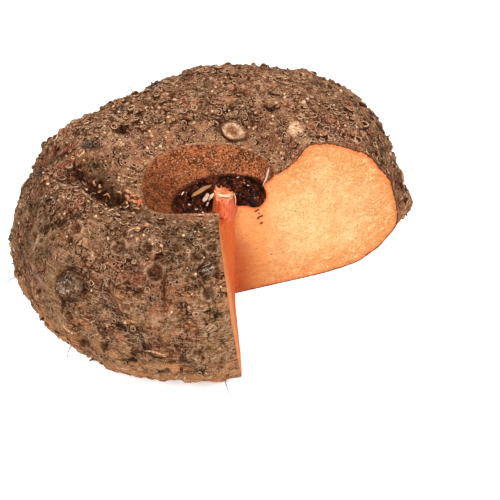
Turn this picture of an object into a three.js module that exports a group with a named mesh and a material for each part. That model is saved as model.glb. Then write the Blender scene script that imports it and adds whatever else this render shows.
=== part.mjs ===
// Elephant foot yam: a squat lumpy corm with a hollow crown, one wedge cut out of it.
// Millimetres, +Z up, the front towards -Y. While the shape is being made, plan positions
// are measured from the upright line where the two cuts meet; at the end the corm is moved
// so that the middle of its footprint is the origin.
import * as THREE from 'three';

// level of each ring of the corm above the floor
const WIDEST_HEIGHT = 42;
const CREST_HEIGHT = 117;
const CROWN_RIM_HEIGHT = 101;
const CROWN_HOLE_HEIGHT = 92;
const CROWN_FLOOR_HEIGHT = 84;

// plan of each ring: middle (x, y), the two half widths (a, b) and its turn in degrees
const FOOT = { x: -18, y: 14, a: 76, b: 68, turn: 0 };
const WIDEST = { x: -20, y: 20, a: 145, b: 112, turn: 42 };
const CREST = { x: -25, y: 0, a: 80, b: 60, turn: 0 };
const CROWN_RIM = { x: -17, y: 6, a: 44, b: 37, turn: 0 };
const CROWN_HOLE = { x: -9, y: -3, a: 33, b: 22.5, turn: 20 };

// broad swells: [azimuth in degrees, spread in degrees, how far it swells]
const SIDE_SWELLS = [[45, 35, 12], [85, 35, 18], [125, 35, 4], [165, 35, 9], [205, 30, -13], [262, 22, 9]];
const CREST_SWELLS = [[20, 40, 4], [70, 45, 3], [120, 45, 2], [170, 40, -2], [235, 35, -3]];
const RIM_SPREADS = [[205, 16, 9]];
const RIM_SWELLS = [[16, 25, 2], [235, 35, 3]];

// lumps and creases: [azimuth, place along the profile, radius, height];
// the place is 1 at the foot, 2 at the widest ring, 3 at the crest, 4 at the crown rim
const LUMPS = [
  [25, 1.85, 16, 13], // knob beside the right-hand cut
  [234, 2.75, 32, 6], // front left shoulder
  [206, 2.2, 30, 4],
  [187, 3.35, 13, -8], // crease running out from the crown's left side
  [178, 3.0, 15, -7],
  [168, 2.6, 18, -5],
  [193, 3.6, 8, -7], // pit at the inner end of the crease
  [100, 2.4, 30, 4],
  [136, 1.7, 26, 4],
  [64, 2.2, 26, 3],
  [150, 2.6, 22, 3],
  [118, 2.0, 16, -4],
  [82, 1.5, 18, -3],
  [222, 1.5, 24, 4],
  [252, 1.7, 22, -3],
  [178, 1.6, 20, 3],
];
const LUMPS_FADE_IN = [1.0, 1.35]; // no lumps under the foot
const LUMPS_FADE_OUT = [3.6, 4.0]; // nor in the crown

// the ring inside the flesh that lumps swell away from
const HEART = { x: -18, y: 8, radius: 66, height: 56 };

// the cuts: the right one is a plane, the left one leans and eases into the inner corner
const RIGHT_CUT_AZIMUTH = 16;
const LEFT_CUT = { start: -0.5, drift: 0.045, lean: -0.115, ease: 26 };

// how finely the surface is divided
const COLUMNS = 84;
const ROWS_PER_BAND = [1, 7, 9, 6, 4, 2]; // under, lower side, upper side, shoulder, crown wall, floor
const LAYERS = 6; // across each cut face
// height on the inner corner that each band end is joined to across the cut face
const CORNER_HEIGHTS = [0, 8, 25, 45, 52, 68, CROWN_FLOOR_HEIGHT];

const radians = (degrees) => degrees * Math.PI / 180;
const clamp01 = (t) => Math.min(1, Math.max(0, t));
const ramp = (t, [from, to]) => clamp01((t - from) / (to - from));

// distance from the inner corner to a ring along one azimuth
function reach(azimuth, ring) {
  const turn = radians(ring.turn);
  const dx = Math.cos(azimuth - turn), dy = Math.sin(azimuth - turn);
  const ox = -ring.x * Math.cos(turn) - ring.y * Math.sin(turn);
  const oy = ring.x * Math.sin(turn) - ring.y * Math.cos(turn);
  const A = dx * dx / ring.a ** 2 + dy * dy / ring.b ** 2;
  const B = 2 * (ox * dx / ring.a ** 2 + oy * dy / ring.b ** 2);
  const C = ox * ox / ring.a ** 2 + oy * oy / ring.b ** 2 - 1;
  return (-B + Math.sqrt(Math.max(B * B - 4 * A * C, 0))) / (2 * A);
}

function swell(azimuth, swells) {
  const degrees = azimuth * 180 / Math.PI;
  let total = 0;
  for (const [centre, spread, height] of swells) {
    const away = (((degrees - centre + 180) % 360) + 360) % 360 - 180;
    total += height * Math.exp(-((away / spread) ** 2));
  }
  return total;
}

// the bare profile: distance from the inner corner and height at one place along it
function profile(azimuth, along) {
  const band = Math.min(5, Math.floor(along));
  const t = along - band;
  const s = Math.sin(t * Math.PI / 2), c = Math.cos(t * Math.PI / 2);
  const foot = reach(azimuth, FOOT);
  const widest = reach(azimuth, WIDEST) + swell(azimuth, SIDE_SWELLS);
  const crest = reach(azimuth, CREST);
  const rim = reach(azimuth, CROWN_RIM) + swell(azimuth, RIM_SPREADS);
  const hole = reach(azimuth, CROWN_HOLE);
  const crestHeight = CREST_HEIGHT + swell(azimuth, CREST_SWELLS);
  const rimHeight = CROWN_RIM_HEIGHT + swell(azimuth, RIM_SWELLS);
  switch (band) {
    case 0: return [foot * t, 0];
    case 1: return [foot + (widest - foot) * s ** 0.9, WIDEST_HEIGHT * (1 - Math.max(c, 0) ** 0.95)];
    case 2: return [crest + (widest - crest) * c ** 1.08,
      WIDEST_HEIGHT + (crestHeight - WIDEST_HEIGHT) * s];
    case 3: return [rim + (crest - rim) * (1 - t) ** 0.8,
      rimHeight + (crestHeight - rimHeight) * (0.5 + 0.5 * Math.cos(Math.PI * t))];
    case 4: return [hole + (rim - hole) * (1 - t),
      CROWN_HOLE_HEIGHT + (rimHeight - CROWN_HOLE_HEIGHT) * (1 - t) ** 1.3];
    default: return [hole * (1 - t),
      CROWN_FLOOR_HEIGHT + (CROWN_HOLE_HEIGHT - CROWN_FLOOR_HEIGHT) * (1 - t) ** 5];
  }
}

function barePoint(azimuth, along) {
  const [r, z] = profile(azimuth, along);
  return new THREE.Vector3(r * Math.cos(azimuth), r * Math.sin(azimuth), z);
}

const lumpCentres = LUMPS.map(([azimuth, along]) => barePoint(radians(azimuth), along));

// a point on the finished skin
function skinPoint(azimuth, along) {
  const p = barePoint(azimuth, along);
  const strength = ramp(along, LUMPS_FADE_IN) * (1 - ramp(along, LUMPS_FADE_OUT));
  if (strength === 0) return p;
  let height = 0;
  LUMPS.forEach(([, , radius, lump], i) => {
    height += lump * Math.exp(-p.distanceToSquared(lumpCentres[i]) / radius ** 2);
  });
  const plan = new THREE.Vector3(p.x - HEART.x, p.y - HEART.y, 0).normalize();
  const heart = new THREE.Vector3(HEART.x, HEART.y, HEART.height).addScaledVector(plan, HEART.radius);
  p.addScaledVector(p.clone().sub(heart).normalize(), height * strength);
  p.z = Math.max(p.z, 0);
  return p;
}

// where the left cut stands at a distance towards the front and a height
function leftCutX(forward, height) {
  const t = clamp01(forward / LEFT_CUT.ease);
  const plane = LEFT_CUT.start + LEFT_CUT.drift * forward + LEFT_CUT.lean * height;
  return plane * t * t * (3 - 2 * t);
}

// the azimuth at which the skin meets the left cut
function leftCutAzimuth(along) {
  let azimuth = radians(270);
  for (let step = 0; step < 12; step++) {
    const p = skinPoint(azimuth, along);
    const r = Math.hypot(p.x, p.y);
    if (r > 0.5) azimuth += (leftCutX(Math.max(-p.y, 0), p.z) - p.x) / r;
  }
  return azimuth;
}

function placesAlong() {
  const places = [0];
  ROWS_PER_BAND.forEach((rows, band) => {
    for (let row = 1; row <= rows; row++) places.push(band + row / rows);
  });
  return places;
}

function cornerHeight(along) {
  const band = Math.min(5, Math.floor(along));
  return THREE.MathUtils.lerp(CORNER_HEIGHTS[band], CORNER_HEIGHTS[band + 1], along - band);
}

function cormGeometry() {
  const points = [];
  const triangles = [];
  const add = (p) => points.push(p) - 1;
  const quad = (a, b, c, d) => {
    if (a !== b && b !== c && a !== c) triangles.push(a, b, c);
    if (a !== c && c !== d && a !== d) triangles.push(a, c, d);
  };

  const places = placesAlong();
  const last = places.length - 1;
  const cornerBottom = add(new THREE.Vector3(0, 0, 0));
  const cornerTop = add(new THREE.Vector3(0, 0, CROWN_FLOOR_HEIGHT));
  const atRow = (row, p) => (row === 0 ? cornerBottom : row === last ? cornerTop : add(p));

  // skin, column by column from the right-hand cut round the back to the left-hand one
  const skin = [];
  for (let column = 0; column <= COLUMNS; column++) {
    skin.push(places.map((along, row) => {
      const start = radians(RIGHT_CUT_AZIMUTH);
      const azimuth = start + (leftCutAzimuth(along) - start) * column / COLUMNS;
      return atRow(row, skinPoint(azimuth, along));
    }));
  }
  for (let column = 0; column < COLUMNS; column++) {
    for (let row = 0; row < last; row++) {
      const here = skin[column], next = skin[column + 1];
      quad(here[row], next[row], next[row + 1], here[row + 1]);
    }
  }

  // cut faces, layer by layer from the inner corner out to the skin
  const corner = places.map((along, row) => atRow(row, new THREE.Vector3(0, 0, cornerHeight(along))));
  const cutFace = (edge, isLeft) => {
    let inner = corner;
    for (let layer = 1; layer <= LAYERS; layer++) {
      const outer = layer === LAYERS ? edge : places.map((along, row) => {
        const p = points[corner[row]].clone().lerp(points[edge[row]], layer / LAYERS);
        if (isLeft) p.x = leftCutX(Math.max(-p.y, 0), p.z);
        return atRow(row, p);
      });
      for (let row = 0; row < last; row++) {
        if (isLeft) quad(inner[row], inner[row + 1], outer[row + 1], outer[row]);
        else quad(inner[row], outer[row], outer[row + 1], inner[row + 1]);
      }
      inner = outer;
    }
  };
  cutFace(skin[0], false);
  cutFace(skin[COLUMNS], true);

  const box = new THREE.Box3().setFromPoints(points);
  const middle = new THREE.Vector3((box.min.x + box.max.x) / 2, (box.min.y + box.max.y) / 2, box.min.z);
  const geometry = new THREE.BufferGeometry();
  geometry.setFromPoints(points.map((p) => p.clone().sub(middle)));
  geometry.setIndex(triangles);
  geometry.computeVertexNormals();
  return geometry;
}

const yam = new THREE.Group();
yam.name = 'elephant_foot_yam';
const skinBrown = new THREE.MeshStandardMaterial({ color: 0x8a6446, roughness: 0.85 });
const corm = new THREE.Mesh(cormGeometry(), skinBrown);
corm.name = 'corm';
yam.add(corm);

export default yam;
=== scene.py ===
"""Elephant foot yam: the looks of the corm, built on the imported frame."""

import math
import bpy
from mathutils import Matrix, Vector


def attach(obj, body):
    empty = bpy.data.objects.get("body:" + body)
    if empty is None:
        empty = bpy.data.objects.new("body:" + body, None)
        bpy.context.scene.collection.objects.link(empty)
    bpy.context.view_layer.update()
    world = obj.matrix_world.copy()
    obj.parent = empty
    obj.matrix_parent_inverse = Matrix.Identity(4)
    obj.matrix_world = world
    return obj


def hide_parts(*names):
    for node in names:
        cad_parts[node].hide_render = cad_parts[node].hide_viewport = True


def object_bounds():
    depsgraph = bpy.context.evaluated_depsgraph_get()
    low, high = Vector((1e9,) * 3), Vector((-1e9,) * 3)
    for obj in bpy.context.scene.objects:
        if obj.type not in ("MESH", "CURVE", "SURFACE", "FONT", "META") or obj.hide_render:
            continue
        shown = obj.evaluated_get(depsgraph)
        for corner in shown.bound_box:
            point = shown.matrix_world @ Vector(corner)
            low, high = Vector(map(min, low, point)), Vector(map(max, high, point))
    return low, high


bl_info = {
    "name": "Elephant foot yam",
    "version": (1, 0, 0),
    "blender": (4, 5, 0),
    "location": "View3D > Sidebar > Yam",
    "description": "Builds a cut elephant foot yam with its scars, roots and crown, and a plain stage",
    "category": "Add Mesh",
}

import bpy
import numpy as np
from mathutils import Vector
from mathutils.bvhtree import BVHTree
from mathutils.geometry import delaunay_2d_cdt
from mathutils.kdtree import KDTree

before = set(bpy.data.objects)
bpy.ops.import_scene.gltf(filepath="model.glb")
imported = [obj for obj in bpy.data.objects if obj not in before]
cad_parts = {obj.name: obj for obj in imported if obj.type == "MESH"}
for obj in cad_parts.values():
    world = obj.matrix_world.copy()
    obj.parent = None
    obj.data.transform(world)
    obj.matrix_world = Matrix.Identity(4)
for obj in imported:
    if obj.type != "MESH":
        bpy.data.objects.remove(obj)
CAD_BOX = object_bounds()

# ---- The corm's shape, in millimetres from the upright line where the two cuts meet ----
# The same rings, swells and lumps as the CAD part.

WIDEST_HEIGHT = 42
CREST_HEIGHT = 117
CROWN_RIM_HEIGHT = 101
CROWN_HOLE_HEIGHT = 92
CROWN_FLOOR_HEIGHT = 84

# Places along the profile run from 0 at the inner corner over the foot at 1, the widest part at 2
# and the crest at 3 to the crown, and back to the corner.
AT_RIM, AT_HOLE, AT_CORNER = 4, 5, 6

FOOT = dict(x=-18, y=14, a=76, b=68, turn=0)
WIDEST = dict(x=-20, y=20, a=145, b=112, turn=42)
CREST = dict(x=-25, y=0, a=80, b=60, turn=0)
CROWN_RIM = dict(x=-17, y=6, a=44, b=37, turn=0)
CROWN_HOLE = dict(x=-9, y=-3, a=33, b=22.5, turn=20)

# azimuth in degrees, spread in degrees, height in mm
SIDE_SWELLS = [(45, 35, 12), (85, 35, 18), (125, 35, 4), (165, 35, 9), (205, 30, -13), (262, 22, 9)]
CREST_SWELLS = [(20, 40, 4), (70, 45, 3), (120, 45, 2), (170, 40, -2), (235, 35, -3)]
RIM_SPREADS = [(205, 16, 9)]
RIM_SWELLS = [(16, 25, 2), (235, 35, 3)]

# azimuth, place along the profile, radius in mm, height in mm
LUMPS = [
    (25, 1.85, 16, 13), (234, 2.75, 32, 6), (206, 2.2, 30, 4), (187, 3.35, 13, -8),
    (178, 3.0, 15, -7), (168, 2.6, 18, -5), (193, 3.6, 8, -7), (100, 2.4, 30, 4),
    (136, 1.7, 26, 4), (64, 2.2, 26, 3), (150, 2.6, 22, 3), (118, 2.0, 16, -4),
    (82, 1.5, 18, -3), (222, 1.5, 24, 4), (252, 1.7, 22, -3), (178, 1.6, 20, 3),
]
LUMPS_FADE_IN = (1.0, 1.35)
LUMPS_FADE_OUT = (3.6, 4.0)

HEART = dict(x=-18, y=8, radius=66, height=56)

RIGHT_CUT_AZIMUTH = 16
LEFT_CUT = dict(start=-0.5, drift=0.045, lean=-0.115, ease=26)

RIGHT_CUT_TURN = math.radians(RIGHT_CUT_AZIMUTH)
RIGHT_CUT_OUT = np.array([math.sin(RIGHT_CUT_TURN), -math.cos(RIGHT_CUT_TURN), 0.0])
RIGHT_CUT_ALONG = np.array([math.cos(RIGHT_CUT_TURN), math.sin(RIGHT_CUT_TURN), 0.0])
LEFT_CUT_OUT = np.array([1.0, 0.0, 0.0])

UP = np.array([0.0, 0.0, 1.0])
MM = 0.001
FAR = 99.0


def ramp(t, start, end):
    """0 before start, 1 after end, straight between them."""
    return np.clip((t - start) / (end - start), 0, 1)


def ease(t, start, end):
    """0 before start, 1 after end, smooth between them."""
    t = ramp(t, start, end)
    return t * t * (3 - 2 * t)


def bell(x, middle, spread):
    """1 at the middle, falling smoothly to 0 on both sides."""
    return np.exp(-((x - middle) / spread) ** 2)


def nearness(points, centre, radius):
    """1 at a place, falling smoothly to 0 past this radius."""
    return np.exp(-((points - centre) ** 2).sum(-1) / radius ** 2)


def unit(v):
    """Vectors at length one."""
    return v / np.maximum(np.linalg.norm(v, axis=-1, keepdims=True), 1e-9)


def reach(azimuth, ring):
    """Distance from the inner corner to a ring along each azimuth."""
    turn = math.radians(ring["turn"])
    dx, dy = np.cos(azimuth - turn), np.sin(azimuth - turn)
    ox = -ring["x"] * math.cos(turn) - ring["y"] * math.sin(turn)
    oy = ring["x"] * math.sin(turn) - ring["y"] * math.cos(turn)
    a2, b2 = ring["a"] ** 2, ring["b"] ** 2
    A = dx * dx / a2 + dy * dy / b2
    B = 2 * (ox * dx / a2 + oy * dy / b2)
    C = ox * ox / a2 + oy * oy / b2 - 1
    return (-B + np.sqrt(np.maximum(B * B - 4 * A * C, 0))) / (2 * A)


def swell(azimuth, swells):
    """How far swellings round the corm push out, in mm."""
    degrees = np.degrees(azimuth)
    return sum(
        height * bell((degrees - centre + 180) % 360 - 180, 0, spread)
        for centre, spread, height in swells
    )


def bare_point(azimuth, along):
    """The skin without its lumps, at an azimuth and a place along the profile."""
    azimuth = np.asarray(azimuth, float)
    along = np.asarray(along, float) + 0 * azimuth
    azimuth = azimuth + 0 * along
    band = np.minimum(AT_HOLE, np.floor(along)).astype(int)
    t = along - band
    s, c = np.sin(t * math.pi / 2), np.maximum(np.cos(t * math.pi / 2), 0)
    foot, crest = reach(azimuth, FOOT), reach(azimuth, CREST)
    widest = reach(azimuth, WIDEST) + swell(azimuth, SIDE_SWELLS)
    rim = reach(azimuth, CROWN_RIM) + swell(azimuth, RIM_SPREADS)
    hole = reach(azimuth, CROWN_HOLE)
    crest_z = CREST_HEIGHT + swell(azimuth, CREST_SWELLS)
    rim_z = CROWN_RIM_HEIGHT + swell(azimuth, RIM_SWELLS)
    r = np.choose(band, [
        foot * t,
        foot + (widest - foot) * s ** 0.9,
        crest + (widest - crest) * c ** 1.08,
        rim + (crest - rim) * (1 - t) ** 0.8,
        hole + (rim - hole) * (1 - t),
        hole * (1 - t),
    ])
    z = np.choose(band, [
        0 * t,
        WIDEST_HEIGHT * (1 - c ** 0.95),
        WIDEST_HEIGHT + (crest_z - WIDEST_HEIGHT) * s,
        rim_z + (crest_z - rim_z) * (0.5 + 0.5 * np.cos(math.pi * t)),
        CROWN_HOLE_HEIGHT + (rim_z - CROWN_HOLE_HEIGHT) * (1 - t) ** 1.3,
        CROWN_FLOOR_HEIGHT + (CROWN_HOLE_HEIGHT - CROWN_FLOOR_HEIGHT) * (1 - t) ** 5,
    ])
    return np.stack([r * np.cos(azimuth), r * np.sin(azimuth), z], -1)


def from_heart(points):
    """Unit vectors out of the ring inside the flesh that swellings grow from."""
    plan = points[..., :2] - (HEART["x"], HEART["y"])
    plan = np.concatenate([plan, np.zeros_like(plan[..., :1])], -1)
    heart = np.array([HEART["x"], HEART["y"], HEART["height"]]) + unit(plan) * HEART["radius"]
    return unit(points - heart)


def skin_point(azimuth, along):
    """The smooth skin with its lumps, in mm from the inner corner."""
    p = bare_point(azimuth, along)
    strength = ramp(along, *LUMPS_FADE_IN) * (1 - ramp(along, *LUMPS_FADE_OUT))
    height = np.zeros(p.shape[:-1])
    for place, level, radius, lump in LUMPS:
        height += lump * nearness(p, bare_point(math.radians(place), level), radius)
    p = p + from_heart(p) * (height * strength)[..., None]
    p[..., 2] = np.maximum(p[..., 2], 0)
    return p


def skin_place(degrees, along):
    """One point of the smooth skin."""
    return skin_point(np.array(math.radians(degrees)), np.array(float(along)))


def left_cut_x(forward, height):
    """Where the left cut face stands, this far forward and up."""
    plane = LEFT_CUT["start"] + LEFT_CUT["drift"] * forward + LEFT_CUT["lean"] * height
    return plane * ease(forward, 0, LEFT_CUT["ease"])


def left_cut_azimuth(along):
    """The azimuth at which the skin meets the left cut, found by stepping towards it."""
    azimuth = np.full(np.shape(along), math.radians(270))
    for _ in range(12):
        p = skin_point(azimuth, along)
        r = np.hypot(p[..., 0], p[..., 1])
        step = (left_cut_x(np.maximum(-p[..., 1], 0), p[..., 2]) - p[..., 0]) / np.maximum(r, 1e-6)
        azimuth = azimuth + np.where(r > 0.5, step, 0)
    return azimuth


def gap_to_cuts(points):
    """Distance in mm from each skin point to the nearer cut face, and to the left one alone."""
    right = np.where(points @ RIGHT_CUT_ALONG > 0, -(points @ RIGHT_CUT_OUT), FAR)
    left = left_cut_x(np.maximum(-points[..., 1], 0), points[..., 2]) - points[..., 0]
    left = np.where(points[..., 1] < 0, left, FAR)
    return np.clip(np.minimum(right, left), 0, FAR), np.clip(left, 0, FAR)


def frame_shift():
    """Moves points from the inner corner to the frame's origin, the middle of the footprint."""
    places = np.linspace(0, AT_CORNER, 121)
    turn = np.linspace(0, 1, 241)[:, None]
    azimuth = RIGHT_CUT_TURN + (left_cut_azimuth(places) - RIGHT_CUT_TURN)[None] * turn
    points = skin_point(azimuth, np.broadcast_to(places, azimuth.shape)).reshape(-1, 3)
    middle = (points.min(0) + points.max(0)) / 2
    low, high = (np.array(corner) for corner in CAD_BOX)
    target = (low + high) / 2 / MM
    return np.array([target[0] - middle[0], target[1] - middle[1], 0.0])


SHIFT = frame_shift()


def placed(points):
    """Corner millimetres to frame metres."""
    return (np.asarray(points) + SHIFT) * MM


# ---- Natural unevenness ----

CELL_PRIMES = np.array([374761393, 668265263, 1440662683])
SEED_PRIME, STIR_PRIME = 974634777, 1274126177
LOW_BITS = 0xFFFFFFFF
SLOPES = np.array([
    (1, 1, 0), (-1, 1, 0), (1, -1, 0), (-1, -1, 0), (1, 0, 1), (-1, 0, 1),
    (1, 0, -1), (-1, 0, -1), (0, 1, 1), (0, -1, 1), (0, 1, -1), (0, -1, -1),
], float)


def scrambled(cell, seed):
    """A steady scrambled whole number for each cell of a grid."""
    h = (cell * CELL_PRIMES).sum(-1) + seed * SEED_PRIME
    h = h & LOW_BITS
    h = ((h ^ (h >> 13)) * STIR_PRIME) & LOW_BITS
    return h ^ (h >> 16)


def rolling(points, size, seed=0):
    """Smooth unevenness from about -1 to 1 with hills this many millimetres apart."""
    p = points / size
    cell = np.floor(p).astype(np.int64)
    f = p - cell
    u = f * f * f * (f * (f * 6 - 15) + 10)
    total = np.zeros(p.shape[:-1])
    for corner in np.ndindex(2, 2, 2):
        slope = SLOPES[scrambled(cell + corner, seed) % 12]
        weight = np.prod(np.where(np.array(corner) == 1, u, 1 - u), axis=-1)
        total += weight * (slope * (f - corner)).sum(-1)
    return total


def crumpled(points, size, octaves, seed=0):
    """Rolling hills with finer ones added on top, each half as wide and half as tall."""
    return sum(rolling(points, size / 2 ** k, seed + k) * 0.5 ** k for k in range(octaves))


def pebbled(points, size, seed=0):
    """Distance to the nearest of scattered points, in units of their spacing, and a number for it."""
    p = points / size
    cell = np.floor(p).astype(np.int64)
    nearest = np.full(p.shape[:-1], 9.0)
    owner = np.zeros(p.shape[:-1])
    for step in np.ndindex(3, 3, 3):
        home = cell + np.array(step) - 1
        spot = np.stack([scrambled(home, seed + k) % 1024 / 1024 for k in range(3)], -1) + home
        away = np.linalg.norm(p - spot, axis=-1)
        closer = away < nearest
        nearest = np.where(closer, away, nearest)
        owner = np.where(closer, scrambled(home, seed + 7) % 997 / 997, owner)
    return nearest, owner


# ---- Large scars: where cormels broke off and where old roots and bumps stood ----
# (azimuth, place along the profile, radius in mm, how much wider than tall, kind)
# cup: raised lip round a sunk floor; button: flat pale disc; patch: bare pale skin; dome: scabbed bump;
# knob: dark bump; rent: ragged tear; pit: sunk hole; ash: greyish hole; sore: dark hole, healed above

LARGE_SCARS = [
    (89.5, 3.59, 4.7, 1.7, "button"),
    (100.2, 2.77, 5.0, 1.35, "cup"),
    (36.3, 3.0, 5.0, 1.3, "patch"),
    (163.5, 3.03, 10.0, 0.75, "ash"),
    (161.6, 2.61, 5.5, 2.2, "pit"),
    (214, 2.36, 10.5, 0.95, "dome"),
    (239, 2.62, 5.8, 1.0, "cup"),
    (258, 2.66, 5.6, 0.95, "dome"),
    (256.5, 2.93, 4.2, 0.8, "sore"),
    (258, 2.82, 4.2, 0.9, "cup"),
    (188, 2.23, 5.0, 0.8, "dome"),
    (252, 2.07, 4.2, 1.0, "knob"),
    (241, 2.13, 4.8, 1.0, "knob"),
    (223, 2.73, 5.0, 1.1, "cup"),
    (193.5, 3.92, 5.5, 1.5, "sore"),
    (172.5, 3.30, 4.5, 1.0, "rent"),
    (180.5, 3.28, 5.5, 1.5, "rent"),
    (184.0, 3.42, 6.5, 1.5, "rent"),
    (187.0, 3.58, 6.5, 1.4, "rent"),
    (190.5, 3.72, 6.5, 1.3, "rent"),
    (196.0, 3.84, 6.0, 1.2, "rent"),
    (232.0, 2.22, 4.5, 1.2, "rent"),
    (263.0, 2.36, 4.0, 1.2, "rent"),
    (66.0, 2.95, 5.0, 1.5, "rent"),
    (150.0, 3.15, 4.5, 1.4, "rent"),
    (86, 2.86, 7.0, 1.6, "pit"),
    (76, 2.84, 5.0, 1.2, "cup"),
    (252, 2.74, 4.0, 1.0, "cup"),
    (259, 2.50, 4.4, 1.0, "cup"),
    (253, 2.29, 3.4, 1.0, "sore"),
    (30, 1.95, 3.6, 1.1, "cup"),
    (205, 2.72, 4.5, 1.2, "cup"),
    (236, 1.98, 4.0, 1.5, "rent"),
    (246, 1.92, 3.5, 1.8, "rent"),
    (228, 2.05, 3.6, 1.2, "knob"),
    (219, 1.95, 4.0, 1.4, "rent"),
    (257, 2.12, 3.8, 1.1, "cup"),
    (233, 2.38, 3.6, 1.0, "cup"),
    (195, 2.45, 4.2, 1.3, "cup"),
    (132, 2.70, 5.0, 1.3, "cup"),
    (116, 2.55, 6.0, 1.1, "dome"),
    (60, 2.55, 5.5, 1.2, "cup"),
    (48, 2.2, 7.5, 1.0, "dome"),
    (70, 1.8, 6.0, 1.2, "cup"),
    (95, 2.0, 5.5, 1.0, "pit"),
    (112, 1.6, 6.5, 1.1, "dome"),
    (140, 2.1, 6.0, 1.2, "cup"),
    (155, 1.7, 5.0, 1.0, "cup"),
    (172, 2.0, 6.5, 1.0, "dome"),
    (200, 1.7, 5.0, 1.1, "cup"),
    (230, 1.6, 5.0, 1.0, "pit"),
]


def local_sides(normal):
    """Two directions in the skin at a place: round the corm, and up its side."""
    east = unit(np.cross(UP, normal) + np.array([1e-6, 0, 0]))
    return east, np.cross(normal, east)


def scar_look(kind, d, upper, radius, points, number):
    """Height in mm and stains of one scar. d is 1 on its edge, upper is above 0 on its upper side."""
    lip, inside = bell(d, 1, 0.2), 1 - ease(d, 0.7, 1.0)
    crumb = rolling(points, 2.2, 90 + number)
    dome = radius * np.sqrt(np.clip(1 - d * d, 0, 1))
    if kind == "cup":
        return 1.5 * lip - 0.26 * radius * inside + 0.5 * crumb * inside, [
            ("pale", 0.55 * bell(d, 1.02, max(0.13, 0.9 / radius)) * ease(crumb, -0.5, 0.3)),
            ("dark", bell(d, 0.78, 0.16) * ease(crumb, -0.5, 0.2)),
            ("dark", 0.55 * inside),
            ("dark", 0.6 * bell(d, 1.3, 0.14) * ease(crumb, -0.3, 0.5)),
            ("rust", 0.35 * inside * ease(crumb, 0.0, 0.4)),
        ]
    if kind == "button":
        gap, worn = bell(d, 1.2, 0.2), d + 0.3 * crumb
        height = 2.2 * (1 - ease(d, 0.85, 1.05)) + 0.8 * bell(d, 0.8, 0.18) - 1.6 * gap
        return height - 0.8 * (1 - ease(d, 0.1, 0.45)) + 0.4 * crumb * inside, [
            ("pale", (1 - ease(d, 0.92, 1.06)) * (0.15 + 0.85 * ease(d, 0.4, 0.7))),
            # painted shade in the gap round the button, heaviest below it; dark wear and rust in its sunk
            # middle
            ("dark", gap * (0.35 + 0.65 * ease(-upper, -0.3, 0.5))),
            ("dark", 0.5 * (1 - ease(worn, 0.2, 0.5))),
            ("rust", 0.5 * (1 - ease(worn, 0.3, 0.7))),
        ]
    if kind == "patch":
        return 0.9 * (1 - ease(d, 0.8, 1.1)) + 0.5 * crumb * inside, [
            ("pale", (1 - ease(d, 0.8, 1.15)) * (0.95 + 0.5 * crumb)),
        ]
    if kind == "dome":
        return 0.42 * dome + 0.9 * crumb * inside - 0.8 * bell(d, 1.15, 0.2), [
            ("grey", (1 - ease(d, 0.55, 1.0)) * (0.7 + 0.7 * crumb)),
            ("dark", 0.75 * bell(d, 1.0, 0.28)),
        ]
    if kind == "knob":
        return 0.4 * dome + 0.7 * crumb * inside, [("dark", (1 - ease(d + 0.4 * crumb, 0.6, 1.1)) * 0.9)]
    if kind == "rent":
        ragged = d + 0.55 * crumb + 0.25 * rolling(points, 4.5, 130 + number)
        return -0.3 * radius * (1 - ease(ragged, 0.2, 1.0)) + 0.7 * crumb * inside, [
            ("dark", 1 - ease(ragged, 0.45, 1.0)),
        ]
    if kind in ("pit", "ash"):
        found, share = ("grey", 0.8) if kind == "ash" else ("rust", 0.3)
        return -0.32 * radius * (1 - ease(d, 0.1, 1.0)) + 0.9 * lip * (0.6 + crumb), [
            ("dark", 0.9 * (1 - ease(d + 0.4 * crumb, 0.2, 0.95))),
            ("pale", 0.3 * lip * ease(crumb, -0.4, 0.4)),
            (found, share * ease(-upper + 0.5 * crumb, -0.1, 0.5) * inside),
        ]
    healed = (1 - ease(d, 0.25, 0.75)) * ease(upper, -0.25, 0.35)
    return -0.35 * radius * (1 - ease(d, 0.1, 1.0)) + 0.8 * crumb * inside, [
        ("dark", 0.95 * (1 - ease(d, 0.5, 1.0))), ("rust", healed), ("pale", 0.5 * healed),
    ]


def large_scar_marks(points):
    """What the large scars add to the skin: height in mm and the marks its finish reads."""
    height = np.zeros(len(points))
    marks = {name: np.zeros(len(points)) for name in ("pale", "dark", "grey", "rust")}
    for number, (azimuth, along, radius, wide, kind) in enumerate(LARGE_SCARS):
        centre = skin_place(azimuth, along)
        offset = points - centre
        near = np.flatnonzero((offset ** 2).sum(-1) < (3 * radius * max(wide, 1)) ** 2)
        if not len(near):
            continue
        offset, here = offset[near], points[near]
        normal = from_heart(centre)
        east, north = local_sides(normal)
        wobble = 1 + 0.16 * rolling(here, radius * 0.9, 50 + number)
        d = np.sqrt((offset @ east / wide) ** 2 + (offset @ north) ** 2 + (offset @ normal * 0.5) ** 2)
        grown, stains = scar_look(kind, d / radius * wobble, offset @ north / radius, radius, here, number)
        height[near] += grown
        for name, amount in stains:
            marks[name][near] = np.maximum(marks[name][near], amount)
    return height, marks


# ---- Meshes ----


def is_closed(faces):
    """Whether every edge is shared by exactly two triangles."""
    faces = np.asarray(faces)
    edges = np.sort(np.concatenate([faces[:, [0, 1]], faces[:, [1, 2]], faces[:, [2, 0]]]), axis=1)
    return bool((np.unique(edges, axis=0, return_counts=True)[1] == 2).all())


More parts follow.
